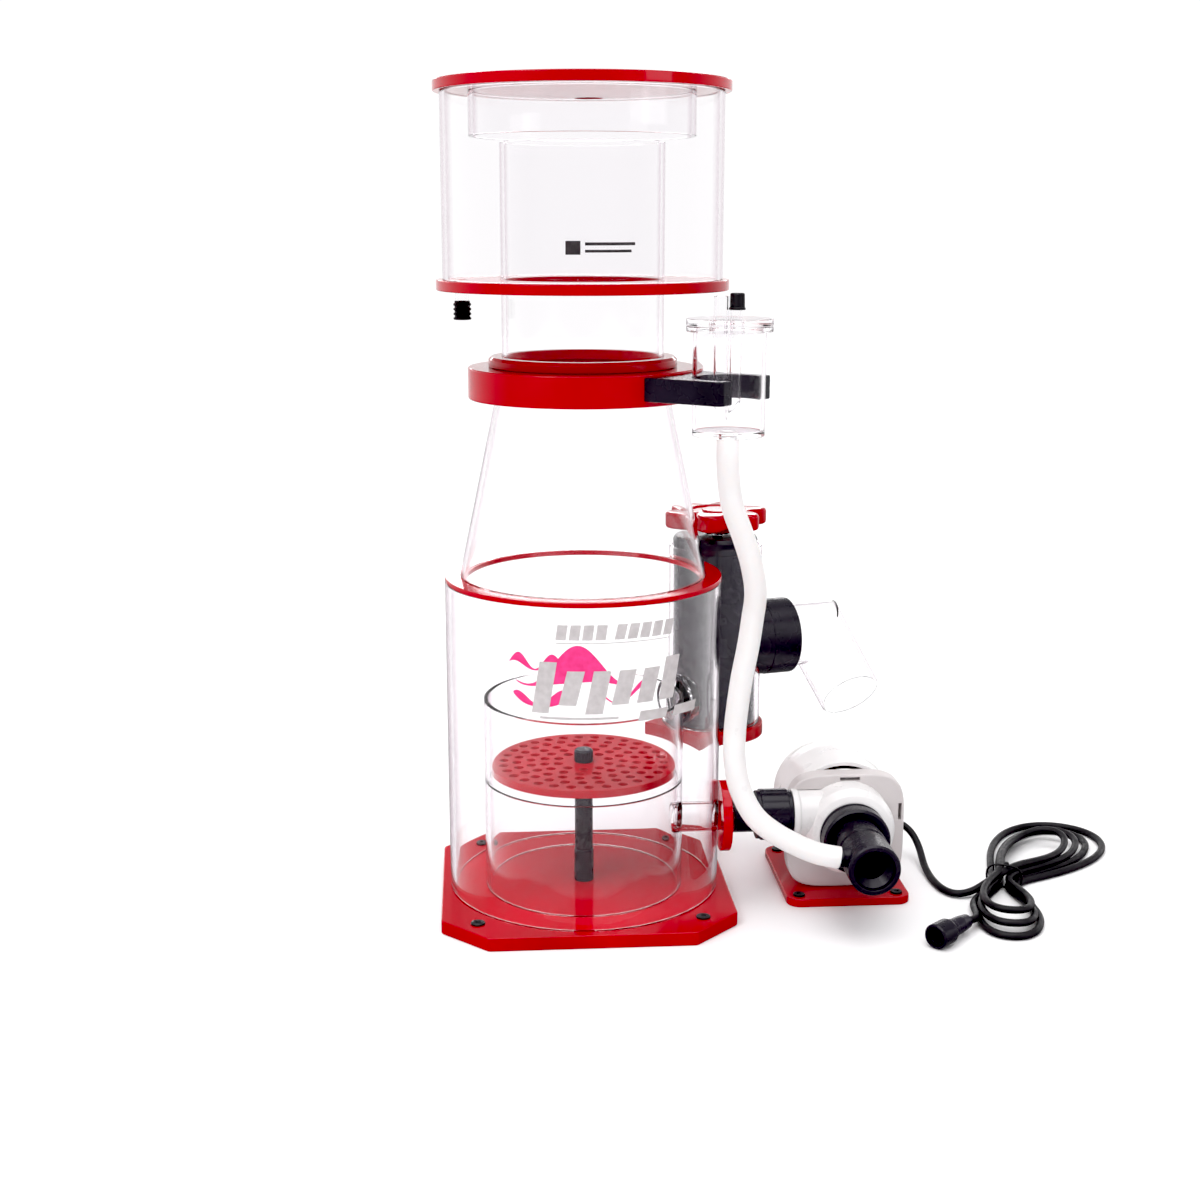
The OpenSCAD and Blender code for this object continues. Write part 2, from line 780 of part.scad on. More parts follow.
module drill_silencer_tubes(extra) {
    rotate([0, 0, -silencer_dir]) {
        translate([tube_a, 0, 0]) cylinder(r = air_tube_r + extra, h = lid_top);
        translate([tube_b, 0, 0]) cylinder(r = bleed_tube_r + extra, h = lid_top);
    }
}

// ---- silencer ----

module silencer_bracket() {
    color(BLACK) translate([0, 0, bracket_z]) linear_extrude(bracket_h) difference() {
        rotate([0, 0, silencer_dir])
            translate([(collar_r + bracket_reach) / 2 - 8, 0])
                round_square(bracket_reach - collar_r + 16, bracket_w, 4);
        rotate([0, 0, silencer_dir]) translate([silencer_dist, 0]) circle(r = silencer_r + slip);
        circle(r = collar_r + glue);
    }
}

module silencer_body() {
    color(CLEAR) at_silencer() difference() {
        union() {
            translate([0, 0, silencer_z]) cylinder(r = silencer_r, h = silencer_h);
            translate([0, 0, silencer_top - 3.5]) cylinder(r = silencer_lid_r, h = 3.5);
        }
        translate([0, 0, silencer_z + 3.5])
            cylinder(r = silencer_r - silencer_wall, h = silencer_h);
        translate([0, 0, silencer_z - 1]) cylinder(r = 5, h = 6);
    }
}

module silencer_lid() {
    color(CLEAR) at_silencer() difference() {
        union() {
            translate([0, 0, silencer_lid_z]) cylinder(r = silencer_lid_r, h = silencer_lid_t);
            translate([0, 0, silencer_lid_z - 4])
                cylinder(r = silencer_r - silencer_wall - slip, h = 4 + eps);
        }
        drill_silencer_tubes(glue);
    }
}

// A tube that hangs in the silencer, with its lower end cut at 45 degrees.
module hanging_tube(r, wall, top, length, flip) {
    difference() {
        translate([0, 0, top - length]) cylinder(r = r, h = length);
        translate([0, 0, top - length - 1]) cylinder(r = r - wall, h = length + 2);
        translate([flip * r, 0, top - length]) rotate([0, flip * 45, 0])
            translate([-30, -10, -30]) cube([60, 20, 30]);
    }
}

module silencer_inlet_tube() {
    color(CLEAR) at_silencer() rotate([0, 0, -silencer_dir]) translate([tube_a, 0, 0])
        hanging_tube(air_tube_r, 1.2, air_tube_top, air_tube_len, 1);
}

module silencer_bleed_tube() {
    color(CLEAR) at_silencer() rotate([0, 0, -silencer_dir]) translate([tube_b, 0, 0])
        hanging_tube(bleed_tube_r, 1, bleed_tube_top, bleed_tube_len, -1);
}

module silencer_cap() {
    color(BLACK) at_silencer() rotate([0, 0, -silencer_dir])
        translate([tube_b + 0.8, 0, bleed_tube_top + 3 - bleed_cap_h]) difference() {
            cylinder(r = bleed_tube_r + 1.5, h = bleed_cap_h);
            translate([-0.8, 0, -1]) cylinder(r = bleed_tube_r + 0.3, h = bleed_cap_h - 2);
        }
}

module air_hose() {
    color(SILICONE) sweep(smooth_route(hose_route, 1), hose_d / 2, 12, [0, 1, 0]);
}

// ---- pump ----

module pump_base() {
    color(ACRYLIC) translate([pump_x, pump_y_mid, 0]) difference() {
        linear_extrude(pump_base_t) round_square(pump_base_w, pump_base_len, 10);
        corner_places([pump_base_w / 2, pump_base_len / 2], plug_inset)
            translate([0, 0, -1]) cylinder(r = 4, h = pump_base_t + 2);
    }
}

module pump_base_plugs() {
    color(BLACK) translate([pump_x, pump_y_mid, 0])
        corner_places([pump_base_w / 2, pump_base_len / 2], plug_inset) {
            cylinder(r = 4 - glue, h = pump_base_t);
            translate([0, 0, pump_base_t]) cylinder(r = 4.4, h = 1.4);
        }
}

module pump_motor_shell() {
    back = cover_back + shell_len;
    inside = back - 24;
    color(WHITE) {
        difference() {
            union() {
                translate([pump_x, back, pump_z]) rotate([90, 0, 0]) rotate_extrude() polygon([
                    [0, 0], [shell_r - 16, 0], [shell_r - 9, 4], [shell_r - 4, 14],
                    [shell_r - 1, 28], [shell_r, 42], [shell_r, shell_len], [0, shell_len]
                ]);
                translate([pump_x - 28, cover_back, pump_base_t]) cube([56, 60, pump_z / 2]);
                translate([gland_root, gland_y, gland_z]) rotate([0, 90, 0])
                    cylinder(r = 8, h = gland_start - gland_root);
            }
            rod_y(shell_r - motor_wall, cover_back - 1, inside);
        }
        // The socket that holds the rear bush.
        difference() {
            rod_y(bush_r + 2.5, shaft_back - bush_len + 1, inside + 1);
            rod_y(bush_r + glue, shaft_back - bush_len, shaft_back + 1 + glue);
        }
    }
}

module cover_outline() {
    intersection() {
        round_square(cover_w, cover_w, 20);
        circle(r = cover_w * 0.615);
    }
}

module pump_front_cover() {
    color(GREY) difference() {
        translate([pump_x, cover_back, pump_base_t + seat + cover_w / 2]) rotate([90, 0, 0])
            linear_extrude(cover_t) cover_outline();
        rod_x(port_r + slip, 0, pump_x, inlet_y, inlet_z);
        rod_x(union_r + 2, 0, port_x + 5, inlet_y, inlet_z);
        rod_y(volute_r - 4, pump_y - 1, cover_back + 1);
        translate([pump_x - 6, pump_y - 1, pump_base_t + cover_w - 5]) cube([16, 8, 3]);
        translate([pump_x + cover_w / 2 - 5, pump_y - 1, pump_z + 2]) cube([3, 8, 13]);
    }
}

module pump_volute() {
    wall = 3;
    hub_r = bush_r + 2;
    color(WHITE) difference() {
        union() {
            difference() {
                union() {
                    rod_y(volute_r, volute_front, pump_y);
                    rod_x(port_r, port_x, pump_x - 14, inlet_y, inlet_z);
                    rod_x(union_r - 0.2, port_x, port_x + 4, inlet_y, inlet_z);
                }
                rod_y(volute_r - wall, volute_front + wall, pump_y + 1);
                rod_y(mouth_r, volute_front - 1, volute_front + wall + 1);
                rod_x(port_r - 4, port_x - 1, pump_x - 16, inlet_y, inlet_z);
                translate([pump_x - 30, pump_y, pump_z - 30]) cube([60, 30, 60]);
            }
            // Three arms in the mouth carry the hub that holds the front bush.
            rod_y(hub_r, volute_front, bush_front + bush_len);
            for (i = [0 : 2]) translate([pump_x, volute_front, pump_z]) rotate([0, i * 120, 0])
                translate([-1.5, 0.5, hub_r - 1]) cube([3, wall - 1, mouth_r - hub_r + 3]);
        }
        rod_y(bush_r + glue, volute_front - 1, bush_front + bush_len + 1);
    }
}

module pump_intake_ring() {
    color(BLACK) difference() {
        rod_y(intake_ring_r, volute_front - intake_ring_t, volute_front);
        rod_y(nozzle_r + glue, volute_front - intake_ring_t - 1, volute_front - 4);
        rod_y(mouth_r, volute_front - 5, volute_front + 1);
    }
}

module pump_intake_nozzle() {
    color(BLACK) difference() {
        union() {
            rod_y(nozzle_r, nozzle_front, volute_front - 4);
            rod_x(7.5, barb_x, pump_x - 14, barb_y, barb_z);
        }
        rod_y(nozzle_bore_r, nozzle_front - 1, volute_front);
        rod_y(nozzle_bore_r + 5, nozzle_front - 1, nozzle_front + 4);
        rod_x(4, barb_x - 1, pump_x - 8, barb_y, barb_z);
    }
}

module pump_stator() {
    color(COPPER) difference() {
        rod_y(stator_r, cover_back + 8, cover_back + 50);
        rod_y(stator_in, cover_back + 7, cover_back + 51);
    }
}

module pump_rotor() {
    color(MAGNET) difference() {
        rod_y(magnet_r, cover_back + 4, cover_back + 48);
        rod_y(shaft_r + shaft_gap, cover_back + 3, cover_back + 49);
    }
}

module pump_impeller() {
    disc_t = 2;
    pins = 12;
    back = cover_back - 2;
    color(WHITE) difference() {
        union() {
            rod_y(impeller_r, back - disc_t, back);
            rod_y(7, back, cover_back + 4);
            rod_y(7, back - 10, back);
            for (ring = [1 : 3], i = [0 : pins - 1])
                translate([pump_x, back - disc_t, pump_z])
                    rotate([0, i * 360 / pins + ring * 15, 0])
                        translate([6 + ring * 5.5, 0, 0]) rotate([90, 0, 0])
                            cylinder(r = 1.2, h = 11, $fn = 16);
        }
        rod_y(shaft_r + shaft_gap, back - 11, cover_back + 5);
    }
}

module pump_shaft() {
    color(STEEL) rod_y(shaft_r, bush_front + 0.5, shaft_back + 0.5);
}

module pump_bushes() {
    color(BLACK) difference() {
        union() {
            rod_y(bush_r, bush_front, bush_front + bush_len);
            rod_y(bush_r, shaft_back - bush_len + 1, shaft_back + 1);
        }
        rod_y(shaft_r, bush_front + 0.5, shaft_back + 0.5);
    }
}

module pump_cord_gland() {
    color(BLACK) difference() {
        translate([gland_start, gland_y, gland_z]) rotate([0, 90, 0])
            cylinder(r1 = 6.5, r2 = 3.8, h = gland_x - gland_start);
        for (i = [0 : 2])
            translate([gland_start + 5 + i * 4, gland_y, gland_z]) rotate([0, 90, 0])
                pipe(9, 4.4, 0, 1.2);
    }
}

module pump_cord() {
    color(BLACK) sweep(smooth_route(cord_route, 1), cord_d / 2, 8, [0, 0, 1]);
}

module pump_cord_hank() {
    color(BLACK) translate([tie_at[0], tie_at[1], 0]) linear_extrude(hank_h)
        for (lobe = [lobe_far, lobe_near]) rotate([0, 0, lobe[0]]) hull() {
            circle(r = tie_r);
            translate([lobe[1] - lobe[2], 0]) circle(r = lobe[2]);
        }
}

module pump_connector() {
    run = connector_to - connector_at;
    head = 20;
    color(BLACK) translate([connector_at[0], connector_at[1], connector_z])
        rotate([0, 0, atan2(run[1], run[0])]) rotate([0, 90, 0]) difference() {
            union() {
                cylinder(r = connector_r, h = head);
                translate([0, 0, head]) cylinder(r = 0.7 * connector_r, h = norm(run) - head);
            }
            translate([0, 0, -1]) cylinder(r = connector_r - 2, h = head / 2);
        }
}

base_plate();
base_plugs();
body_tube();
body_top_ring();
cone();
chamber_lower();
chamber_upper();
plate_post();
bubble_plate();
plate_knob();
inlet_pipe();
inlet_flange();
union_sleeve();
union_nut();
riser_tube();
riser_base();
riser_duct();
valve_body();
valve_socket();
valve_cap();
valve_gate();
valve_stem();
valve_knob();
outlet_spout();
collar_ring();
cup_seal();
cup_seat_ring();
cup_neck();
cup_floor();
cup_wall();
drain_tube();
drain_plug();
lid_plate();
lid_skirt();
lid_vent();
silencer_bracket();
silencer_body();
silencer_lid();
silencer_inlet_tube();
silencer_bleed_tube();
silencer_cap();
air_hose();
pump_base();
pump_base_plugs();
pump_motor_shell();
pump_front_cover();
pump_volute();
pump_intake_ring();
pump_intake_nozzle();
pump_stator();
pump_rotor();
pump_impeller();
pump_shaft();
pump_bushes();
pump_cord_gland();
pump_cord();
pump_cord_hank();
pump_connector();
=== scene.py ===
import json
import math

import bmesh
import bpy
from mathutils import Matrix, Vector


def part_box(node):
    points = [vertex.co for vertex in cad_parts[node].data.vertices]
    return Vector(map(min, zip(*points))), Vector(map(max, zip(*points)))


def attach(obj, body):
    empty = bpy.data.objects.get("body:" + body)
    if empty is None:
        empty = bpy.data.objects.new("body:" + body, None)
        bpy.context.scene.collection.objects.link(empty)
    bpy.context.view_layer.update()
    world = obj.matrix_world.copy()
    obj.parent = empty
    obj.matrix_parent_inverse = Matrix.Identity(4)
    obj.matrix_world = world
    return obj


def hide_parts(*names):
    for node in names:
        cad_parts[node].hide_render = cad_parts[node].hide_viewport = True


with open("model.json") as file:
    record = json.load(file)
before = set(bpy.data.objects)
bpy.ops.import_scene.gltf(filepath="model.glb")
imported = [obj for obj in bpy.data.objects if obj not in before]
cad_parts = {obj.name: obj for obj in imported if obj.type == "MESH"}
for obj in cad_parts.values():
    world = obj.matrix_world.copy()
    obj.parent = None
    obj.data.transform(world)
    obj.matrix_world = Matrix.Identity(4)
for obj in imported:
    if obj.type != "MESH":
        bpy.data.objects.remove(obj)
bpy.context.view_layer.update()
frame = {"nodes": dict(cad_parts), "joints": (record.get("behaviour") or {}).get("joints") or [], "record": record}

# Protein skimmer. Helpers take millimetres in the frame's own axes; meshes come out in metres.
MM = 0.001

RECORD = frame["record"]
BODY_OF = {n: body for body, nodes in RECORD["behaviour"]["bodies"].items() for n in nodes}
SLOT_OF = {row["node"]: row["material_slot"] for row in RECORD["subparts"]}

ALONG_X = Matrix.Rotation(math.radians(90), 4, "Y")
ALONG_Y = Matrix.Rotation(math.radians(-90), 4, "X")

# Walls and radii that a node's box does not give, in millimetres.
BODY_WALL = 4.0
CONE_WALL = 3.0
CONE_TOP_R = 62.0
CHAMBER_WALL = 3.5
NECK_WALL = 3.0
CUP_WALL = 3.5
PIPE_WALL = 1.8
RISER_WALL = 3.0
VALVE_WALL = 3.5
SPOUT_WALL = 2.0
SPOUT_R = 25.0
DUCT_R = 19.0
DUCT_HOLE = 19.2
DUCT_BORE = 16.0
DUCT_Z = 131.5
BODY_SEAT = 100.2
COLLAR_BORE = 60.5
NECK_SEAT = 57.2
BASE_PLUG_INSET = 26.0
PUMP_PLUG_INSET = 9.5
VOLUTE_R = 33.0
CORD_R = 2.75
HOSE_R = 7.75
SEGMENTS = 160


# ---------------------------------------------------------------- camera
def make_camera():
    data = bpy.data.cameras.new("camera")
    camera = bpy.data.objects.new("camera", data)
    bpy.context.scene.collection.objects.link(camera)
    data.sensor_width = 36
    data.lens = 50.91
    camera.location = (-0.0756, -1.2010, 0.4960)
    camera.rotation_euler = (math.radians(77.30), 0, math.radians(-4.178))
    bpy.context.scene.camera = camera


make_camera()


# ---------------------------------------------------------------- mesh helpers
def box_mm(node):
    low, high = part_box(node)
    return low / MM, high / MM


def centre_of(node):
    low, high = box_mm(node)
    return (low + high) / 2


def shade(obj, angle=32):
    obj.data.shade_smooth()
    obj.data.set_sharp_from_angle(angle=math.radians(angle))


def new_object(name, verts, faces, place=None, angle=32):
    """A mesh from millimetre points, cleaned, with outward normals."""
    mesh = bpy.data.meshes.new(name)
    mesh.from_pydata([tuple(v) for v in verts], [], faces)
    obj = bpy.data.objects.new(name, mesh)
    bpy.context.scene.collection.objects.link(obj)
    tidy(obj, place, angle)
    return obj


def tidy(obj, place=None, angle=32, weld=2e-3):
    if place is not None:
        obj.data.transform(place)
    bm = bmesh.new()
    bm.from_mesh(obj.data)
    bmesh.ops.remove_doubles(bm, verts=bm.verts, dist=weld)
    bmesh.ops.dissolve_degenerate(bm, edges=bm.edges, dist=weld / 2)
    bmesh.ops.recalc_face_normals(bm, faces=bm.faces)
    bm.to_mesh(obj.data)
    bm.free()
    obj.data.transform(Matrix.Scale(MM, 4))
    shade(obj, angle)


def rounded(points, radius, steps=4):
    """A closed outline whose corners are arcs; radius is one number or one for each corner."""
    out = []
    count = len(points)
    for i, point in enumerate(points):
        here = Vector(point)
        a = Vector(points[i - 1]) - here
        b = Vector(points[(i + 1) % count]) - here
        want = radius[i] if isinstance(radius, (list, tuple)) else radius
        angle = a.angle(b)
        if want <= 0 or angle > math.pi - 0.02:
            out.append(here)
            continue
        reach = min(want / math.tan(angle / 2), a.length * 0.48, b.length * 0.48)
        arc_r = reach * math.tan(angle / 2)
        middle = here + (a.normalized() + b.normalized()).normalized() * (arc_r / math.sin(angle / 2))
        u = here + a.normalized() * reach - middle
        v = here + b.normalized() * reach - middle
        total = u.angle(v)
        for k in range(steps + 1):
            t = k / steps
            out.append(middle + (u * math.sin((1 - t) * total) + v * math.sin(t * total))
                       / math.sin(total))
    return out


def lathe(name, outline, place=None, steps=SEGMENTS, ripple=None, angle=32):
    """A solid of revolution about Z: outline is a closed list of (radius, height)."""
    count = len(outline)
    verts, faces = [], []
    for s in range(steps):
        turn = 2 * math.pi * s / steps
        for r, z in outline:
            radius = ripple(turn, r, z) if ripple else r
            verts.append((radius * math.cos(turn), radius * math.sin(turn), z))
    for s in range(steps):
        after = (s + 1) % steps
        for i in range(count):
            j = (i + 1) % count
            faces.append((s * count + i, after * count + i, after * count + j, s * count + j))
    return new_object(name, verts, faces, place, angle)


def tube(name, outer, inner, low, high, place=None, soften=0.6, steps=SEGMENTS):
    outline = [(inner, low), (outer, low), (outer, high), (inner, high)]
    return lathe(name, rounded(outline, soften, 3), place, steps)


def disc(name, outer, low, high, place=None, soften=0.8, steps=SEGMENTS):
    outline = [(0, low), (outer, low), (outer, high), (0, high)]
    return lathe(name, rounded(outline, [0, soften, soften, 0], 4), place, steps)


def circle(radius, x=0.0, y=0.0, steps=48, start=0.0):
    return [(x + radius * math.cos(start + 2 * math.pi * k / steps),
             y + radius * math.sin(start + 2 * math.pi * k / steps)) for k in range(steps)]


def area_of(loop):
    return sum(loop[i - 1][0] * p[1] - p[0] * loop[i - 1][1] for i, p in enumerate(loop)) / 2


def plate(name, loops, low, high, soften=0.8, place=None, angle=32):
    """A flat plate with softened edges: the first loop is its outline and the rest are holes."""
    curve = bpy.data.curves.new(name, "CURVE")
    curve.dimensions = "2D"
    curve.fill_mode = "BOTH"
    curve.extrude = (high - low) / 2 - soften
    curve.bevel_depth = soften
    curve.bevel_resolution = 2
    curve.offset = -soften
    for k, loop in enumerate(loops):
        points = [tuple(p) for p in loop]
        if (area_of(points) > 0) == (k > 0):
            points.reverse()
        spline = curve.splines.new("POLY")
        spline.points.add(len(points) - 1)
        for point, (x, y) in zip(spline.points, points):
            point.co = (x, y, 0, 1)
        spline.use_cyclic_u = True
    source = bpy.data.objects.new(name + "_curve", curve)
    bpy.context.scene.collection.objects.link(source)
    graph = bpy.context.evaluated_depsgraph_get()
    mesh = bpy.data.meshes.new_from_object(source.evaluated_get(graph))
    mesh.name = name
    bpy.data.objects.remove(source)
    bpy.data.curves.remove(curve)
    obj = bpy.data.objects.new(name, mesh)
    bpy.context.scene.collection.objects.link(obj)
    mesh.transform(Matrix.Translation((0, 0, (low + high) / 2)))
    tidy(obj, place, angle)
    return obj


def join(name, objects):
    """One object out of several; the first one's name is dropped."""
    bm = bmesh.new()
    for obj in objects:
        bm.from_mesh(obj.data)
    mesh = bpy.data.meshes.new(name)
    bm.to_mesh(mesh)
    bm.free()
    for obj in objects:
        bpy.data.objects.remove(obj)
    out = bpy.data.objects.new(name, mesh)
    bpy.context.scene.collection.objects.link(out)
    shade(out)
    return out


def combine(obj, other, how, angle=32):
    """Boolean of two closed meshes, applied at once; the second object goes."""
    modifier = obj.modifiers.new("combine", "BOOLEAN")
    modifier.operation = how
    modifier.object = other
    modifier.solver = "EXACT"
    graph = bpy.context.evaluated_depsgraph_get()
    mesh = bpy.data.meshes.new_from_object(obj.evaluated_get(graph))
    obj.modifiers.clear()
    old = obj.data
    obj.data = mesh
    mesh.name = obj.name
    bpy.data.meshes.remove(old)
    bpy.data.objects.remove(other)
    shade(obj, angle)
    return obj


def cut(obj, other, angle=32):
    return combine(obj, other, "DIFFERENCE", angle)


def rod(name, radius, low, high, place, steps=96):
    return lathe(name, [(0, low), (radius, low), (radius, high), (0, high)], place, steps)


def frames_along(points):
    """Unit heading, side and up vectors at each point, turned as little as possible."""
    heads = []
    for i in range(len(points)):
        ahead = points[min(i + 1, len(points) - 1)]
        behind = points[max(i - 1, 0)]
        heads.append((ahead - behind).normalized())
    side = heads[0].orthogonal().normalized()
    out = []
    for i, head in enumerate(heads):
        if i:
            side = (side - head * side.dot(head)).normalized()
        out.append((side, head.cross(side)))
    return out


def skin(rings, sides, closed=True):
    """Faces between neighbouring rings of points, and from the last to the first if closed."""
    faces = []
    for a in range(rings if closed else rings - 1):
        b = (a + 1) % rings
        for k in range(sides):
            m = (k + 1) % sides
            faces.append((a * sides + k, a * sides + m, b * sides + m, b * sides + k))
    return faces


def swept(name, points, radius, sides=20, inner=0.0):
    """A round tube along points, with rounded ends, or open ends of a wall if inner is given."""
    frames = frames_along(points)
    if inner:
        rings = [(0, inner), (0, radius)] + [(i, radius) for i in range(1, len(points) - 1)]
        rings += [(len(points) - 1, radius), (len(points) - 1, inner)]
        rings += [(i, inner) for i in range(len(points) - 2, 0, -1)]
    else:
        rings = [(0, 0.0), (0, radius * 0.8)] + [(i, radius) for i in range(len(points))]
        rings += [(len(points) - 1, radius * 0.8), (len(points) - 1, 0.0)]
    verts = []
    for i, r in rings:
        side, up = frames[i]
        for k in range(sides):
            turn = 2 * math.pi * k / sides
            verts.append(points[i] + (side * math.cos(turn) + up * math.sin(turn)) * r)
    return new_object(name, verts, skin(len(rings), sides, bool(inner)), None, 50)


def spline(points, steps):
    """A smooth curve through every point."""
    out = []
    last = len(points) - 1
    for i in range(last):
        a, b = points[max(i - 1, 0)], points[i]
        c, d = points[i + 1], points[min(i + 2, last)]
        for k in range(steps):
            t = k / steps
            out.append(0.5 * (2 * b + (c - a) * t + (2 * a - 5 * b + 4 * c - d) * t * t
                              + (3 * b - a - 3 * c + d) * t ** 3))
    return out + [points[last]]


def at(x=0.0, y=0.0, z=0.0, turn=None):
    place = Matrix.Translation((x, y, z))
    return place @ turn if turn is not None else place


# ---------------------------------------------------------------- materials
def nodes_of(name):
    material = bpy.data.materials.new(name)
    material.use_nodes = True
    tree = material.node_tree
    shader = tree.nodes["Principled BSDF"]
    where = tree.nodes.new("ShaderNodeTexCoord").outputs["Object"]
    return material, tree, shader, where


def add(tree, kind, values=None, links=None):
    """A shader node with its constants set and its inputs linked."""
    node = tree.nodes.new(kind)
    for key, value in (values or {}).items():
        node.inputs[key].default_value = value
    for key, socket in (links or {}).items():
        tree.links.new(socket, node.inputs[key])
    return node


def noise(tree, where, scale, detail=4.0, rough=0.5, stretch=None):
    if stretch:
        where = add(tree, "ShaderNodeMapping", {"Scale": stretch}, {"Vector": where}).outputs["Vector"]
    return add(tree, "ShaderNodeTexNoise", {"Scale": scale, "Detail": detail, "Roughness": rough},
               {"Vector": where}).outputs["Fac"]


def spread(tree, value, low, high, start=0.3, end=0.7):
    return add(tree, "ShaderNodeMapRange", {"From Min": start, "From Max": end, "To Min": low,
                                            "To Max": high}, {"Value": value}).outputs["Result"]


def two_tone(tree, value, first, second, places=(0.35, 0.65)):
    node = add(tree, "ShaderNodeValToRGB", None, {"Fac": value})
    for k, colour in enumerate((first, second)):
        node.color_ramp.elements[k].position = places[k]
        node.color_ramp.elements[k].color = (*colour, 1)
    return node.outputs["Color"]


def bumped(tree, shader, height, strength, distance):
    node = add(tree, "ShaderNodeBump", {"Strength": strength, "Distance": distance},
               {"Height": height})
    tree.links.new(node.outputs["Normal"], shader.inputs["Normal"])


def solid(name, first, second, rough, grain=(900.0, 0.1, 0.00005), tone=25.0, coat=0.0,
          metal=0.0, subsurface=0.0, level=0.5):
    """An opaque surface: two close tones, a varied roughness and a fine grain."""
    material, tree, shader, where = nodes_of(name)
    tree.links.new(two_tone(tree, noise(tree, where, tone), first, second),
                   shader.inputs["Base Color"])
    tree.links.new(spread(tree, noise(tree, where, tone * 3, 6), *rough),
                   shader.inputs["Roughness"])
    scale, strength, depth = grain
    bumped(tree, shader, noise(tree, where, scale, 3), strength, depth)
    for key, value in (("Metallic", metal), ("Coat Weight", coat), ("Coat Roughness", 0.03),
                       ("Specular IOR Level", level)):
        shader.inputs[key].default_value = value
    if subsurface:
        shader.inputs["Subsurface Weight"].default_value = subsurface
        shader.inputs["Subsurface Radius"].default_value = (1.0, 0.7, 0.6)
        shader.inputs["Subsurface Scale"].default_value = 0.004
    return material


def clear(name, tint, grazing_shade_tint, rough=(0.0, 0.02), wave=0.03, pass_tint=(0.97, 0.96, 0.97)):
    """Clear cast acrylic. Lamps shine through it, so it throws only a faint shadow."""
    material, tree, shader, where = nodes_of(name)
    # Seen along the wall, the acrylic is longer to look through and takes on a faint tone; the darker pinkish
    # colour at grazing angles is mostly painted shade that gives each wall a visible outline.
    slope = add(tree, "ShaderNodeLayerWeight", {"Blend": 0.5})
    edge = spread(tree, slope.outputs["Facing"], 0, 1, 0.5, 1.0)
    tree.links.new(two_tone(tree, edge, tint, grazing_shade_tint), shader.inputs["Base Color"])
    shader.inputs["Transmission Weight"].default_value = 1.0
    shader.inputs["IOR"].default_value = 1.26
    tree.links.new(spread(tree, noise(tree, where, 14, 5), *rough), shader.inputs["Roughness"])
    bumped(tree, shader, noise(tree, where, 22, 2, 0.4, (1, 1, 0.25)), wave, 0.0004)
    through = add(tree, "ShaderNodeBsdfTransparent", {"Color": (*pass_tint, 1)})
    rays = add(tree, "ShaderNodeLightPath")
    mix = add(tree, "ShaderNodeMixShader", None, {"Fac": rays.outputs["Is Shadow Ray"],
                                                  1: shader.outputs["BSDF"],
                                                  2: through.outputs["BSDF"]})
    tree.links.new(mix.outputs["Shader"], tree.nodes["Material Output"].inputs["Surface"])
    return material


MATERIALS = {
    "red_acrylic": solid("red_cast_acrylic", (0.41, 0.0, 0.008), (0.52, 0.0, 0.015),
                         (0.05, 0.12), (60, 0.05, 0.0002), 9, level=0.35),
    # The second colour of the clear acrylic is painted shade for the grazing edges of its walls.
    "clear_acrylic": clear("clear_acrylic", (0.99, 0.985, 0.99), (0.56, 0.44, 0.51)),
    "pink_acrylic": solid("pink_translucent_disc", (0.86, 0.50, 0.47), (0.92, 0.60, 0.56),
                          (0.18, 0.3), (200, 0.05, 0.0001), 40, subsurface=0.4),
    "black_plastic": solid("black_moulded_plastic", (0.018, 0.016, 0.022), (0.027, 0.023, 0.034),
                           (0.22, 0.32), (1400, 0.03, 0.00003), 30, level=0.3),
    "black_rubber": solid("black_rubber", (0.016, 0.015, 0.017), (0.024, 0.022, 0.025),
                          (0.36, 0.55), (2200, 0.1, 0.00003), 60, level=0.25),
    "white_plastic": solid("white_moulded_plastic", (0.80, 0.79, 0.785), (0.86, 0.85, 0.845),
                           (0.24, 0.36), (1500, 0.1, 0.00006), 18, coat=0.1),
    "grey_plastic": solid("light_grey_plastic", (0.60, 0.565, 0.56), (0.66, 0.62, 0.615),
                          (0.34, 0.48), (1800, 0.18, 0.00007), 20),
    "silicone": solid("white_silicone_hose", (0.80, 0.765, 0.75), (0.87, 0.84, 0.825),
                      (0.26, 0.42), (500, 0.08, 0.0001), 16, subsurface=0.35),
    "steel": solid("turned_steel", (0.5, 0.5, 0.52), (0.62, 0.62, 0.64), (0.18, 0.34),
                   (3000, 0.2, 0.00003), 80, metal=1.0),
    "motor_core": solid("wound_motor_core", (0.36, 0.13, 0.05), (0.55, 0.24, 0.1),
                        (0.3, 0.5), (1600, 0.3, 0.0002), 300, metal=0.7),
    "magnet": solid("coated_magnet", (0.05, 0.05, 0.055), (0.09, 0.09, 0.1), (0.3, 0.5),
                    (1200, 0.15, 0.0001), 40, metal=0.4),
}
PINK_INK = solid("pink_print", (0.80, 0.03, 0.20), (0.88, 0.05, 0.26), (0.4, 0.55),
                 (2600, 0.15, 0.00002), 200)
GREY_INK = solid("grey_print", (0.50, 0.47, 0.47), (0.58, 0.55, 0.55), (0.4, 0.55),
                 (2600, 0.15, 0.00002), 200)
BLACK_INK = solid("black_print", (0.015, 0.014, 0.016), (0.03, 0.028, 0.03), (0.4, 0.55),
                  (2600, 0.15, 0.00002), 200)


def paint(obj, material):
    obj.data.materials.clear()
    obj.data.materials.append(material)


def dress(obj, node, material=None, replace=True):
    """Gives a piece its material, its body and, where it stands for a CAD node, that node."""
    paint(obj, material or MATERIALS[SLOT_OF[node]])
    even = obj.modifiers.new("even_normals", "WEIGHTED_NORMAL")
    even.keep_sharp = True
    even.weight = 80
    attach(obj, BODY_OF[node])
    if replace:
        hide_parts(node)
    return obj


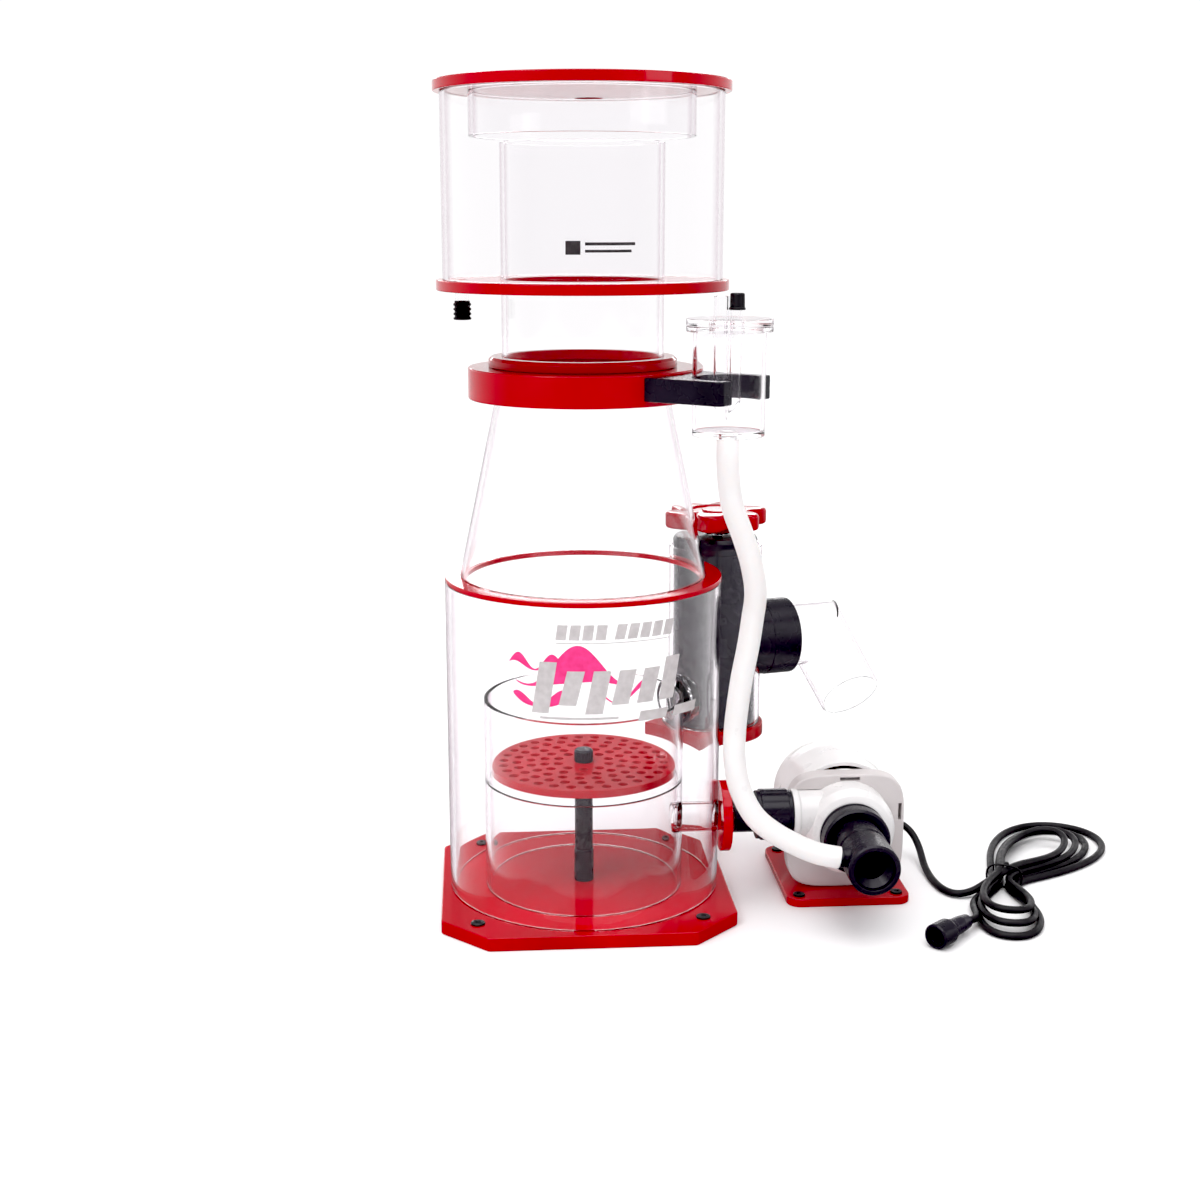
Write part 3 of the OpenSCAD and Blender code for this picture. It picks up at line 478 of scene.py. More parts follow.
# ---------------------------------------------------------------- hose and cord
HOSE_ROUTE = [
    (93, -74, 353), (93, -74, 338), (94, -74, 322), (97, -75, 304), (104, -76, 285),
    (110, -77, 266), (113, -79, 246), (111, -80, 227), (108, -82, 208), (104, -84, 188),
    (101, -86, 168), (99, -88, 149), (99, -90, 129), (103, -92, 109), (113, -94, 90),
    (127, -96, 78), (142, -99, 70), (157, -101, 64), (172, -102, 61),
]
CORD_ROUTE = [
    (248, 62, 26), (257, 60, 25), (264, 52, 20), (267, 38, 12), (266, 20, 5.5), (266, 2, 3),
    (267, -15, 3), (270, -28, 3), (277, -37, 3.5), (290, -35, 5.5), (304, -27, 10),
]
HANK_TIE = Vector((318, -18))
FAR_HEADING = 50
NEAR_HEADING = 258
CONNECTOR_AT = Vector((236, -124, 9))
CONNECTOR_TO = Vector((266, -98, 9))
FAR_LOBES = [(104, 24), (120, 29), (134, 34), (147, 39)]
NEAR_LOBES = [(78, 21), (88, 23), (98, 25), (107, 27)]
WAIST_ROWS = [2.9, 2.9, 2.9, 8.7]
STRAND = 5.7


def spine(s):
    """Point and left-hand direction of the hank's middle line, s from its tie to the far end."""
    bend = 26.0
    heading_far = math.radians(FAR_HEADING)
    heading_near = math.radians(NEAR_HEADING - 180)
    if s >= bend:
        heading = heading_far
    elif s <= -bend:
        heading = heading_near
    else:
        heading = heading_near + (heading_far - heading_near) * (s + bend) / (2 * bend)
    middle = (heading_far + heading_near) / 2
    point = Vector((0, 0))
    steps = 24
    for k in range(steps):
        u = s * (k + 0.5) / steps
        part = max(-bend, min(bend, u))
        turn = middle + (heading_far - heading_near) * part / (2 * bend)
        point += Vector((math.cos(turn), math.sin(turn))) * (s / steps)
    return HANK_TIE + point, Vector((-math.sin(heading), math.cos(heading)))


def lobe_place(reach, half, waist, phase):
    """(distance from the tie, offset to the left) on a lobe; phase runs 0 to 2 pi round it."""
    along = reach * math.sin(phase / 2) ** 2
    raw = 1.299 * half * math.sin(phase) * math.sin(phase / 2)
    blunt = 9.0
    offset = waist + math.sqrt(blunt ** 2 + raw ** 2) - blunt
    tip = max(0.0, 1 - abs(phase - math.pi) / 0.9)
    offset = offset * (1 - tip) + abs(raw) * tip
    return along, offset if phase < math.pi else -offset


def turn_size(lobes, turn):
    """Reach and half width between two turns of the hank; turn is 0 for the inner one."""
    low = max(0, min(len(lobes) - 1, int(math.floor(turn))))
    high = min(len(lobes) - 1, low + 1)
    t = max(0.0, min(1.0, turn - low))
    return [a + (b - a) * t for a, b in zip(lobes[low], lobes[high])]


def waist_of(turn):
    low = max(0, min(len(WAIST_ROWS) - 1, int(math.floor(turn))))
    high = min(len(WAIST_ROWS) - 1, low + 1)
    t = max(0.0, min(1.0, turn - low))
    return WAIST_ROWS[low] + (WAIST_ROWS[high] - WAIST_ROWS[low]) * t


def strand_height(far, turn, phase):
    """Height of a strand: it lies on the next turn out where the two are closer than a strand."""
    lobes = FAR_LOBES if far else NEAR_LOBES
    height = CORD_R + 0.1
    outer = turn
    while outer < 1.999:
        here = abs(lobe_place(*turn_size(lobes, outer), waist_of(outer), phase)[1])
        there = abs(lobe_place(*turn_size(lobes, outer + 1), waist_of(outer + 1), phase)[1])
        gap = (there - here) / STRAND
        share = min(1.0, 2 - outer)
        height += share * STRAND * max(0.0, 1 - (gap / 1.5) ** 2)
        outer += 1
    return height


def hank_points():
    """The hank as one line: four turns out and back, the inner one first, then the tail."""
    out = []
    steps = 26
    for turn in range(4):
        for k in range(steps + 1):
            phase = 2 * math.pi * (1 - k / steps)
            reach, half = FAR_LOBES[turn]
            s, w = lobe_place(reach, half, WAIST_ROWS[turn], phase)
            point, left = spine(s)
            out.append(Vector((*(point + left * w), strand_height(True, turn, phase))))
        if turn == 3:
            break
        for k in range(1, steps):
            share = k / steps
            phase = 2 * math.pi * share
            grown = turn + max(0.0, min(1.0, (share - 0.5) / 0.42)) ** 1.5
            s, w = lobe_place(*turn_size(NEAR_LOBES, grown), waist_of(grown), phase)
            point, left = spine(-s)
            out.append(Vector((*(point + left * w), strand_height(False, grown, phase))))
    return out


def cord_line():
    """The whole pump cord: lead, hank and tail, as evenly spaced points."""
    lead = [Vector(p) for p in CORD_ROUTE]
    hank = hank_points()
    inner = NEAR_LOBES[3]
    tail = []
    for k in range(1, 6):
        phase = 2 * math.pi * 0.30 * k / 7
        s, w = lobe_place(*inner, WAIST_ROWS[3], phase)
        point, left = spine(-s)
        tail.append(Vector((*(point + left * w), CORD_R + 0.1)))
    back = (CONNECTOR_TO - CONNECTOR_AT).normalized()
    tail += [CONNECTOR_TO + back * 14 - Vector((0, 0, 1.5)), CONNECTOR_TO]
    rough = lead + hank[2:] + tail
    dense = spline(rough, 6)
    return resampled(dense, 3.0, 6)


def resampled(points, step, passes):
    """Points at an even step along a line, eased a few times so that no kink is left."""
    out = [points[0]]
    left = step
    for a, b in zip(points, points[1:]):
        run = (b - a).length
        done = 0.0
        while run - done >= left:
            done += left
            out.append(a + (b - a) * (done / run))
            left = step
        left -= run - done
    if (out[-1] - points[-1]).length < step / 2:
        out.pop()
    out.append(points[-1])
    for _ in range(passes):
        eased = [out[0], out[1]]
        eased += [(out[i - 1] + out[i] * 2 + out[i + 1]) / 4 for i in range(2, len(out) - 2)]
        out = eased + [out[-2], out[-1]]
    return out


def make_hose():
    line = spline([Vector(p) for p in HOSE_ROUTE], 8)
    obj = swept("air_hose_tube", line, HOSE_R, 36, HOSE_R - 1.9)
    dress(obj, "air_hose")


def make_cord():
    line = cord_line()
    obj = swept("pump_lead", line, CORD_R, 16)
    dress(obj, "pump_cord")
    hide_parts("pump_cord_hank")
    return obj, line


def cord_connector():
    """Round cord end: a grip with ribs, a locking ring and a socket face with pins."""
    head = (CONNECTOR_TO - CONNECTOR_AT).normalized()
    place = Matrix.Translation(CONNECTOR_AT) @ head.to_track_quat("Z", "Y").to_matrix().to_4x4()
    long = (CONNECTOR_TO - CONNECTOR_AT).length

    def knurl(turn, r, z):
        return r - (0.35 if r > 8.2 and 3 < z < 13 and math.sin(turn * 24) < 0 else 0)

    shell = [(6.9, 0), (8.2, 0), (9, 1.2), (9, 15), (8.2, 17), (7.0, 17.4), (7.0, 21), (6.4, 22),
             (6.2, 30), (5.0, long), (0, long), (0, 8), (6.9, 8)]
    body = lathe("connector_shell", rounded(shell, 0.5, 2), place, 144, knurl, 40)
    parts = [body, tube("connector_key", 6.0, 4.9, 2.0, 9.0, place, 0.3, 64)]
    for k in range(4):
        turn = Matrix.Rotation(math.radians(90 * k + 45), 4, "Z") @ Matrix.Translation((2.6, 0, 0))
        parts.append(disc(f"connector_pin_{k}", 0.8, 2.5, 9.0, place @ turn, 0.4, 20))
    return dress(join("cord_connector", parts), "pump_connector")


def strain_relief():
    """Tapered relief with open rings where the cord leaves the motor."""
    low, high = box_mm("pump_cord_gland")
    middle = (low + high) / 2
    long = high.x - low.x
    outline = [(CORD_R, 0), (6.5, 0), (6.5, 2.4)]
    for k in range(5):
        z = 3.4 + k * 3.1
        r = 6.2 - k * 0.45
        outline += [(r - 1.3, z), (r - 1.3, z + 1.1), (r, z + 1.3), (r - 0.15, z + 2.9)]
    outline += [(3.7, long), (CORD_R, long)]
    place = at(low.x, middle.y, middle.z, ALONG_X)
    return dress(lathe("cord_strain_relief", rounded(outline, 0.3, 2), place, 64),
                 "pump_cord_gland")


def twist_tie():
    """The wire tie round the waist of the hank, with its twisted ends."""
    point, left = spine(0)
    across = Vector((left.x, left.y, 0))
    loop = []
    for k in range(33):
        turn = 2 * math.pi * k / 32
        power = 0.75
        c, s = math.cos(turn), math.sin(turn)
        w = math.copysign(abs(c) ** power, c) * 13.2
        z = 9.2 + math.copysign(abs(s) ** power, s) * 8.9
        loop.append(Vector((point.x, point.y, max(z, 0.5))) + across * w)
    band = swept("hank_tie_band", loop, 0.8, 10)
    top = Vector((point.x, point.y, 18.0))
    head = Vector((left.y, -left.x, 0))
    ends = []
    for side in (-1, 1):
        run = []
        for k in range(15):
            t = k / 14
            turn = math.pi * 5 * t
            swing = across * math.cos(turn) * 0.8 * side + Vector((0, 0, 0.8 * math.sin(turn) * side))
            spray = across * side * 5 * max(0, t - 0.7)
            run.append(top + head * (t * 12) - Vector((0, 0, t * t * 3)) + swing + spray)
        ends.append(swept(f"hank_tie_end_{side}", run, 0.55, 8))
    obj = join("hank_twist_tie", [band] + ends)
    return dress(obj, "pump_cord_hank", MATERIALS["black_rubber"], False)


make_hose()
pump_lead, lead_line = make_cord()
connector = cord_connector()
relief = strain_relief()
tie = twist_tie()


# ---------------------------------------------------------------- base and body
def base():
    low, high = box_mm("base_plate")
    half, corner = high.x, 33.0
    c = half - corner
    outline = [(-c, -half), (c, -half), (half, -c), (half, c), (c, half), (-c, half),
               (-half, c), (-half, -c)]
    reach = half - BASE_PLUG_INSET
    holes = [circle(4.5, sx * reach, sy * reach) for sx in (-1, 1) for sy in (-1, 1)]
    dress(plate("base_plate_cast", [rounded(outline, 5, 5)] + holes, low.z, high.z, 0.9),
          "base_plate")
    plugs("base_plate_plugs", "base_plugs", reach, reach, 0, 4.3, 5.1, high.z, 1.2)


def plugs(name, node, reach_x, reach_y, middle_y, stem_r, head_r, top, head_h, middle_x=0.0):
    """Rubber plugs in the four corner holes of a plate."""
    outline = [(0, 0), (stem_r, 0), (stem_r, top), (head_r, top), (head_r, top + head_h),
               (2.0, top + head_h), (1.6, top + head_h - 0.7), (0, top + head_h - 0.7)]
    shape = rounded(outline, [0, 0.3, 0, 0.3, 0.5, 0.2, 0.2, 0], 3)
    parts = [lathe(f"{name}_{k}", shape,
                   at(middle_x + sx * reach_x, middle_y + sy * reach_y), 40)
             for k, (sx, sy) in enumerate([(-1, -1), (1, -1), (1, 1), (-1, 1)])]
    dress(join(name, parts), node)


def body():
    low, high = box_mm("body_tube")
    radius = high.x
    shell = tube("body_tube_clear", radius, radius - BODY_WALL, low.z, high.z, None, 0.5)
    pipe_low, pipe_high = box_mm("inlet_pipe")
    pipe = (pipe_low + pipe_high) / 2
    hole = rod("inlet_hole", (pipe_high.z - pipe_low.z) / 2 + 0.2, 80, 108,
               at(0, pipe.y, pipe.z, ALONG_X))
    cut(shell, hole)
    duct_turn = Matrix.Rotation(math.atan2(valve_axis().y, valve_axis().x), 4, "Z")
    duct_hole = rod("duct_hole", DUCT_HOLE, 88, 106, duct_turn @ at(0, 0, DUCT_Z, ALONG_X))
    cut(shell, duct_hole)
    dress(shell, "body_tube")

    low, high = box_mm("body_top_ring")
    dress(tube("body_top_ring_cast", high.x, high.x - 16, low.z, high.z, None, 0.7),
          "body_top_ring")

    low, high = box_mm("cone")
    foot = high.x
    outline = [(foot - CONE_WALL, low.z), (foot, low.z), (CONE_TOP_R, high.z),
               (CONE_TOP_R - CONE_WALL, high.z)]
    dress(lathe("cone_clear", rounded(outline, 0.4, 3)), "cone")


def valve_axis():
    return centre_of("valve_cap")


def chamber():
    low, high = box_mm("chamber_lower")
    shell = tube("chamber_lower_clear", high.x, high.x - CHAMBER_WALL, low.z, high.z, None, 0.5)
    pipe_low, pipe_high = box_mm("inlet_pipe")
    pipe = (pipe_low + pipe_high) / 2
    hole = rod("chamber_hole", (pipe_high.z - pipe_low.z) / 2 + 0.2, 56, 80,
               at(0, pipe.y, pipe.z, ALONG_X))
    dress(cut(shell, hole), "chamber_lower")
    low, high = box_mm("chamber_upper")
    dress(tube("chamber_upper_clear", high.x, high.x - CHAMBER_WALL, low.z, high.z, None, 0.7),
          "chamber_upper")

    low, high = box_mm("plate_post")
    foot = high.x
    step = box_mm("bubble_plate")[0].z - 0.3
    outline = [(0, low.z), (foot, low.z), (foot, low.z + 24), (foot - 0.5, low.z + 25),
               (foot - 0.5, step), (3, step), (3, high.z), (0, high.z)]
    dress(lathe("plate_post_turned", rounded(outline, [0, 0.4, 0.4, 0.4, 0.6, 0, 0.8, 0], 3),
                None, 64), "plate_post")

    low, high = box_mm("bubble_plate")
    holes = [circle(3.4, 0, 0, 32)]
    for ring in range(2, 7):
        r = ring * 10 - 0.5
        count = round(2 * math.pi * r / 12.5)
        for i in range(count):
            turn = 2 * math.pi * i / count + math.radians(ring * 7)
            holes.append(circle(3.5, r * math.cos(turn), r * math.sin(turn), 24))
    dress(plate("bubble_plate_drilled", [circle(high.x, 0, 0, SEGMENTS)] + holes, low.z, high.z,
                0.35), "bubble_plate")

    low, high = box_mm("plate_knob")
    top = high.z

    def ribs(turn, r, z):
        return r - 0.35 * (math.sin(turn * 20) < 0) if r > 6 and z < top - 1.6 else r

    outline = [(3.4, low.z), (7.0, low.z), (7.0, top - 1.5), (5.8, top), (0, top),
               (0, top - 2), (3.4, top - 3)]
    dress(lathe("plate_knob_ribbed", rounded(outline, [0, 0.5, 0.5, 0.6, 0, 0, 0], 3), None, 120,
                ribs, 40), "plate_knob")


# ---------------------------------------------------------------- inlet
def inlet():
    low, high = box_mm("inlet_pipe")
    middle = (low + high) / 2
    radius = (high.z - low.z) / 2
    place = at(0, middle.y, middle.z, ALONG_X)
    pipe = tube("inlet_pipe_clear", radius, radius - PIPE_WALL, low.x, high.x, place, 0.4, 96)
    dress(pipe, "inlet_pipe")

    low, high = box_mm("inlet_flange")
    outer = (high.z - low.z) / 2
    flange = tube("inlet_flange_cast", outer, radius + 0.15, low.x, high.x, place, 0.7, 120)
    cut(flange, rod("body_round", BODY_SEAT, -20, 200, at()))
    dress(flange, "inlet_flange")

    low, high = box_mm("union_sleeve")
    sleeve_r = (high.z - low.z) / 2
    outline = [(radius - PIPE_WALL, low.x), (sleeve_r, low.x), (sleeve_r, high.x),
               (radius - PIPE_WALL, high.x)]
    shape = rounded(outline, 0.6, 3)
    dress(lathe("union_sleeve_moulded", shape, place, 96), "union_sleeve")

    low, high = box_mm("union_nut")
    nut_r = (high.z - low.z) / 2
    start, end = low.x, high.x

    def grips(turn, r, x):
        inside = start + 3 < x < end - 3 and r > nut_r - 2
        return r - 0.7 * (0.5 - 0.5 * math.cos(turn * 12)) ** 3 if inside else r

    rings = [start + 3.1, start + 3.4, end - 3.4, end - 3.1]
    outline = [(sleeve_r + 0.4, start), (nut_r - 1.2, start), (nut_r - 1.1, start + 3)]
    outline += [(nut_r, x) for x in rings]
    outline += [(nut_r - 1.1, end - 3), (nut_r - 1.2, end), (sleeve_r + 0.4, end)]
    dress(lathe("union_nut_gripped", rounded(outline, 0.4, 2), place, 144, grips, 40),
          "union_nut")


# ---------------------------------------------------------------- outlet valve
def outlet_turn():
    joint = next(j for j in frame["joints"] if j["child"] == "outlet_spout")
    return math.atan2(joint["axis"][1], joint["axis"][0])


def valve():
    axis = valve_axis()
    here = at(axis.x, axis.y, 0)
    turned = here @ Matrix.Rotation(outlet_turn(), 4, "Z")
    outlet_z = centre_of("valve_socket").z
    body_turn = Matrix.Rotation(math.atan2(axis.y, axis.x), 4, "Z")
    reach = math.hypot(axis.x, axis.y)
    along_duct = body_turn @ at(0, 0, DUCT_Z, ALONG_X)
    along_outlet = turned @ at(0, 0, outlet_z, ALONG_X)

    low, high = box_mm("riser_tube")
    riser_r = (high.x - low.x) / 2
    shell = tube("riser_tube_clear", riser_r, riser_r - RISER_WALL, low.z, high.z, here, 0.5, 128)
    cut(shell, rod("socket_hole", 30.2, 10, riser_r + 6, along_outlet))
    cut(shell, rod("riser_hole", DUCT_HOLE, 98, reach - 18, along_duct))
    dress(shell, "riser_tube")

    low, high = box_mm("riser_base")
    foot_r = riser_r + 3
    arm = 31.0
    angle = math.asin(arm / foot_r)
    outline = [(92, -arm)]
    outline += [(reach + foot_r * math.cos(t), foot_r * math.sin(t))
                for t in [(-math.pi + angle) + k * (2 * math.pi - 2 * angle) / 48 for k in range(49)]]
    outline += [(92, arm)]
    foot = plate("riser_base_cast", [outline], low.z, high.z, 0.9, body_turn)
    cut(foot, rod("body_round_2", BODY_SEAT, 80, 130, at(), SEGMENTS))
    dress(foot, "riser_base")

    duct = tube("riser_duct_clear", DUCT_R, DUCT_BORE, 95.2, reach - 27, along_duct, 0.3, 96)
    cut(duct, rod("valve_round", 31.3, 90, 260, here))
    dress(duct, "riser_duct")

    low, high = box_mm("valve_body")
    valve_r = (high.x - low.x) / 2
    pipe = tube("valve_pipe", valve_r, valve_r - VALVE_WALL, low.z, high.z, here, 0.4, 128)
    cut(pipe, rod("valve_hole", 24.4, 10, riser_r + 6, along_outlet))
    cut(pipe, rod("valve_duct_hole", DUCT_BORE, 98, reach - 12, along_duct))
    dress(pipe, "valve_body")

    socket_end = 61.0
    outline = [(24.4, 20), (29.4, 20), (29.4, 38), (29.8, 38.6), (29.8, socket_end),
               (25.4, socket_end), (25.4, 41.7), (24.4, 41.7)]
    socket = lathe("valve_socket_moulded",
                   rounded(outline, [0, 0, 0.4, 0.4, 1.2, 0.6, 0.2, 0.2], 4), along_outlet, 128)
    cut(socket, rod("valve_round_2", valve_r + 0.2, 90, 260, here, 128))
    dress(socket, "valve_socket")

    low, high = box_mm("valve_cap")
    outline = [(4.4, low.z), (valve_r, low.z), (valve_r, high.z - 3), (valve_r - 2, high.z),
               (9, high.z), (8.2, high.z - 1), (4.4, high.z - 1)]
    dress(lathe("valve_cap_moulded", rounded(outline, [0, 0.4, 1, 1, 0.4, 0.3, 0.4], 4), here, 128),
          "valve_cap")
    knob(here)
    low, high = box_mm("valve_stem")
    stem_top = high.z

    def thread(turn, r, z):
        return r - 0.35 * (0.5 - 0.5 * math.cos(turn + z * 2 * math.pi / 2.5)) if r > 3 else r

    count = int((stem_top - low.z) / 0.4)
    outline = [(0, low.z), (3.2, low.z)]
    outline += [(4, low.z + 0.6 + k * 0.4) for k in range(count - 1)] + [(0, stem_top - 0.2)]
    dress(lathe("valve_stem_threaded", outline, here, 40, thread, 50), "valve_stem")
    paint(frame["nodes"]["valve_gate"], MATERIALS["black_plastic"])


def knob(here):
    """Wheel knob with six round lobes, a dished face and a hub."""
    low, high = box_mm("valve_knob")
    rim = 39.3
    wheel_z = high.z - 12.5
    outline = []
    count = 180
    for k in range(count):
        turn = 2 * math.pi * k / count
        lobe = 0.5 + 0.5 * math.cos(6 * (turn - math.radians(10)))
        r = 25.5 + (rim - 25.5) * lobe ** 0.62
        outline.append((r * math.cos(turn), r * math.sin(turn)))
    wheel = plate("knob_wheel", [outline], wheel_z, high.z, 2.6, here, 40)
    dish = [(12, high.z - 1.2), (21, high.z - 1.2), (22.5, high.z + 2), (11, high.z + 2)]
    cut(wheel, lathe("knob_dish", rounded(dish, [1.2, 1.2, 0, 0], 4), here, 96))
    hub = disc("knob_hub", 12, low.z, wheel_z + 2, here, 0.8, 64)
    boss = disc("knob_boss", 8.5, high.z - 4, high.z - 0.1, here, 1.2, 64)
    dress(join("valve_knob_wheel", [wheel, hub, boss]), "valve_knob")


def spout():
    """Clear mitred elbow: one straight length in the socket and one that turns down."""
    axis = valve_axis()
    turned = at(axis.x, axis.y, 0) @ Matrix.Rotation(outlet_turn(), 4, "Z")
    low = box_mm("outlet_spout")[0]
    outlet_z = centre_of("valve_socket").z
    bend_x, start = 87.0, 42.0
    bend = math.radians(60)
    drop = spout_drop(low.z, outlet_z, SPOUT_R, bend)
    verts = []
    steps = 96
    rings = [("in", start, 0.25), ("in", start + 0.4, 0.0), ("mitre", 0, 0.0),
             ("out", drop - 0.4, 0.0), ("out", drop, 0.25)]
    for shell_r, order, inward in ((SPOUT_R, rings, 1), (SPOUT_R - SPOUT_WALL, rings[::-1], -1)):
        for kind, place, less in order:
            r = shell_r - less * inward
            for k in range(steps):
                turn = 2 * math.pi * k / steps
                y, z = r * math.cos(turn), r * math.sin(turn)
                if kind == "in":
                    point = (place, y, z)
                elif kind == "mitre":
                    point = (bend_x + z * math.tan(bend / 2), y, z)
                else:
                    point = (bend_x + place * math.cos(bend) + z * math.sin(bend), y,
                             -place * math.sin(bend) + z * math.cos(bend))
                verts.append((point[0], point[1], point[2] + outlet_z))
    faces = skin(2 * len(rings), steps)
    dress(new_object("outlet_spout_clear", verts, faces, turned, 28), "outlet_spout")


def spout_drop(lowest, outlet_z, radius, bend):
    """Length of the spout beyond its mitre that brings its lower lip to the frame's height."""
    return (outlet_z - radius * math.cos(bend) - lowest) / math.sin(bend)


# ---------------------------------------------------------------- collar, cup and lid
def collar():
    low, high = box_mm("collar_ring")
    outline = [(COLLAR_BORE, low.z), (high.x, low.z), (high.x, high.z), (COLLAR_BORE, high.z)]
    dress(lathe("collar_ring_cast", rounded(outline, [0.6, 1.2, 1.2, 1.4], 4)), "collar_ring")
    low, high = box_mm("cup_seat_ring")
    outline = [(NECK_SEAT, low.z), (high.x, low.z), (high.x, high.z - 2), (high.x - 2, high.z),
               (NECK_SEAT, high.z)]
    dress(lathe("cup_seat_ring_cast", rounded(outline, [0, 0.6, 0.6, 0.6, 0.3], 3)),
          "cup_seat_ring")


def cup():
    low, high = box_mm("cup_neck")
    dress(tube("cup_neck_clear", high.x, high.x - NECK_WALL, low.z, high.z, None, 0.7),
          "cup_neck")
    low, high = box_mm("cup_floor")
    drain = centre_of("drain_tube")
    loops = [circle(high.x, 0, 0, SEGMENTS), circle(NECK_SEAT, 0, 0, SEGMENTS),
             circle(4.8, drain.x, drain.y, 40)]
    dress(plate("cup_floor_cast", loops, low.z, high.z, 0.8), "cup_floor")
    low, high = box_mm("cup_wall")
    dress(tube("cup_wall_clear", high.x, high.x - CUP_WALL, low.z, high.z, None, 0.5),
          "cup_wall")
    low, high = box_mm("drain_tube")
    dress(tube("drain_tube_clear", (high.x - low.x) / 2, (high.x - low.x) / 2 - 1.4, low.z, high.z,
               at(drain.x, drain.y), 0.3, 48), "drain_tube")
    low, high = box_mm("drain_plug")
    plug_r = (high.x - low.x) / 2
    groove_r = plug_r - 0.8
    outline = [(0, low.z), (plug_r - 1.2, low.z)]
    for k in range(4):
        z = low.z + 0.2 + k * 3.2
        outline += [(plug_r, z + 0.1), (plug_r, z + 1.4), (groove_r, z + 1.7), (groove_r, z + 3.0)]
    outline = [p for p in outline if p[1] < high.z - 0.3]
    outline += [(groove_r, high.z), (5.0, high.z), (5.0, low.z + 2.5), (0, low.z + 2.5)]
    dress(lathe("drain_plug_ribbed", rounded(outline, 0.25, 2), at(drain.x, drain.y), 64),
          "drain_plug")


def lid():
    low, high = box_mm("lid_plate")
    vent = centre_of("lid_vent")
    loops = [circle(high.x, 0, 0, SEGMENTS), circle(10.2, vent.x, vent.y)]
    dress(plate("lid_plate_cast", loops, low.z, high.z, 0.8), "lid_plate")
    low, high = box_mm("lid_skirt")
    dress(tube("lid_skirt_clear", high.x, high.x - 3, low.z, high.z, None, 0.5), "lid_skirt")
    low, high = box_mm("lid_vent")
    radius = (high.x - low.x) / 2
    holes = [circle(0.8, 4.5 * math.cos(k * math.pi / 3), 4.5 * math.sin(k * math.pi / 3), 16)
             for k in range(6)]
    dress(plate("lid_vent_disc", [circle(radius, 0, 0, 64)] + holes, low.z, high.z, 0.3,
                at(vent.x, vent.y)), "lid_vent")


# ---------------------------------------------------------------- silencer
def silencer():
    axis = centre_of("silencer_body")
    here = at(axis.x, axis.y, 0)
    low, high = box_mm("silencer_body")
    rim = (high.x - low.x) / 2
    radius = rim - 4.5
    top = high.z
    outline = [(5, low.z), (radius, low.z), (radius, top - 3.5), (rim, top - 3.5), (rim, top),
               (radius - 2, top), (radius - 2, low.z + 3.5), (5, low.z + 3.5)]
    dress(lathe("silencer_cup_clear", rounded(outline, [0.3, 1.0, 0.4, 0.5, 0.5, 0.3, 1.0, 0.3], 3),
                here, 112), "silencer_body")

    low, high = box_mm("silencer_lid")
    step = radius - 2.4
    outline = [(0, low.z), (step, low.z), (step, low.z + 4), (rim, low.z + 4), (rim, high.z),
               (0, high.z)]
    cover_disc = lathe("silencer_lid_clear", rounded(outline, [0, 0.3, 0.2, 0.5, 0.6, 0], 3),
                       here, 112)
    for node, r in (("silencer_inlet_tube", 5.2), ("silencer_bleed_tube", 4.2)):
        hole = centre_of(node)
        cut(cover_disc, rod(node + "_hole", r, low.z - 1, high.z + 1, at(hole.x, hole.y), 40))
    dress(cover_disc, "silencer_lid")

    for node, wall, flip in (("silencer_inlet_tube", 1.2, 1), ("silencer_bleed_tube", 1.0, -1)):
        low, high = box_mm(node)
        middle = (low + high) / 2
        r = (high.x - low.x) / 2
        slanted(node + "_clear", r, wall, low.z, high.z, middle, flip, node)

    low, high = box_mm("silencer_cap")
    middle = (low + high) / 2
    r = (high.x - low.x) / 2
    outline = [(r - 1.2, low.z), (r, low.z), (r, low.z + 1.2), (r - 0.5, low.z + 1.8),
               (r - 0.7, high.z), (0, high.z), (0, high.z - 2), (r - 1.2, high.z - 2)]
    cap = lathe("silencer_cap_moulded", rounded(outline, [0.2, 0.4, 0.3, 0, 1.0, 0, 0, 0], 3),
                at(middle.x, middle.y), 48)
    dress(cap, "silencer_cap")
    bracket(axis)


def slanted(name, radius, wall, low, high, middle, flip, node):
    """A straight tube whose lower end is cut at 45 degrees."""
    steps = 64
    rings = [(radius, low, True), (radius, high - 0.3, False), (radius - 0.3, high, False),
             (radius - wall, high, False), (radius - wall, low, True)]
    verts = []
    for r, z, cut_end in rings:
        for k in range(steps):
            turn = 2 * math.pi * k / steps
            x = r * math.cos(turn)
            rise = radius - flip * x if cut_end else 0
            verts.append((middle.x + x, middle.y + r * math.sin(turn), z + rise))
    return dress(new_object(name, verts, skin(len(rings), steps), None, 40), node)


def bracket(axis):
    """Black two-armed bracket round the silencer, hollowed to the collar."""
    low, high = box_mm("silencer_bracket")
    turn = math.atan2(axis.y, axis.x)
    distance = math.hypot(axis.x, axis.y)
    width, reach, inner = 68.0, 133.0, 81.0
    hold = 24.9
    edge = math.sqrt(inner ** 2 - (width / 2) ** 2)
    start = math.atan2(-math.sqrt(hold ** 2 - (reach - distance) ** 2), reach - distance)
    arc = []
    for k in range(49):
        t = start - (2 * math.pi + 2 * start) * k / 48
        arc.append((distance + hold * math.cos(t), hold * math.sin(t)))
    outline = [(edge, -width / 2), (reach, -width / 2)] + arc + [(reach, width / 2), (edge, width / 2)]
    side = math.asin(width / 2 / inner)
    hollow = inner + 0.2
    turns = [side - 2 * side * k / 24 for k in range(1, 24)]
    outline += [(hollow * math.cos(t), hollow * math.sin(t)) for t in turns]
    radii = [0, 4] + [0] * len(arc) + [4, 0] + [0] * 23
    place = Matrix.Rotation(turn, 4, "Z")
    dress(plate("silencer_bracket_moulded", [rounded(outline, radii, 5)], low.z, high.z, 0.9, place),
          "silencer_bracket")


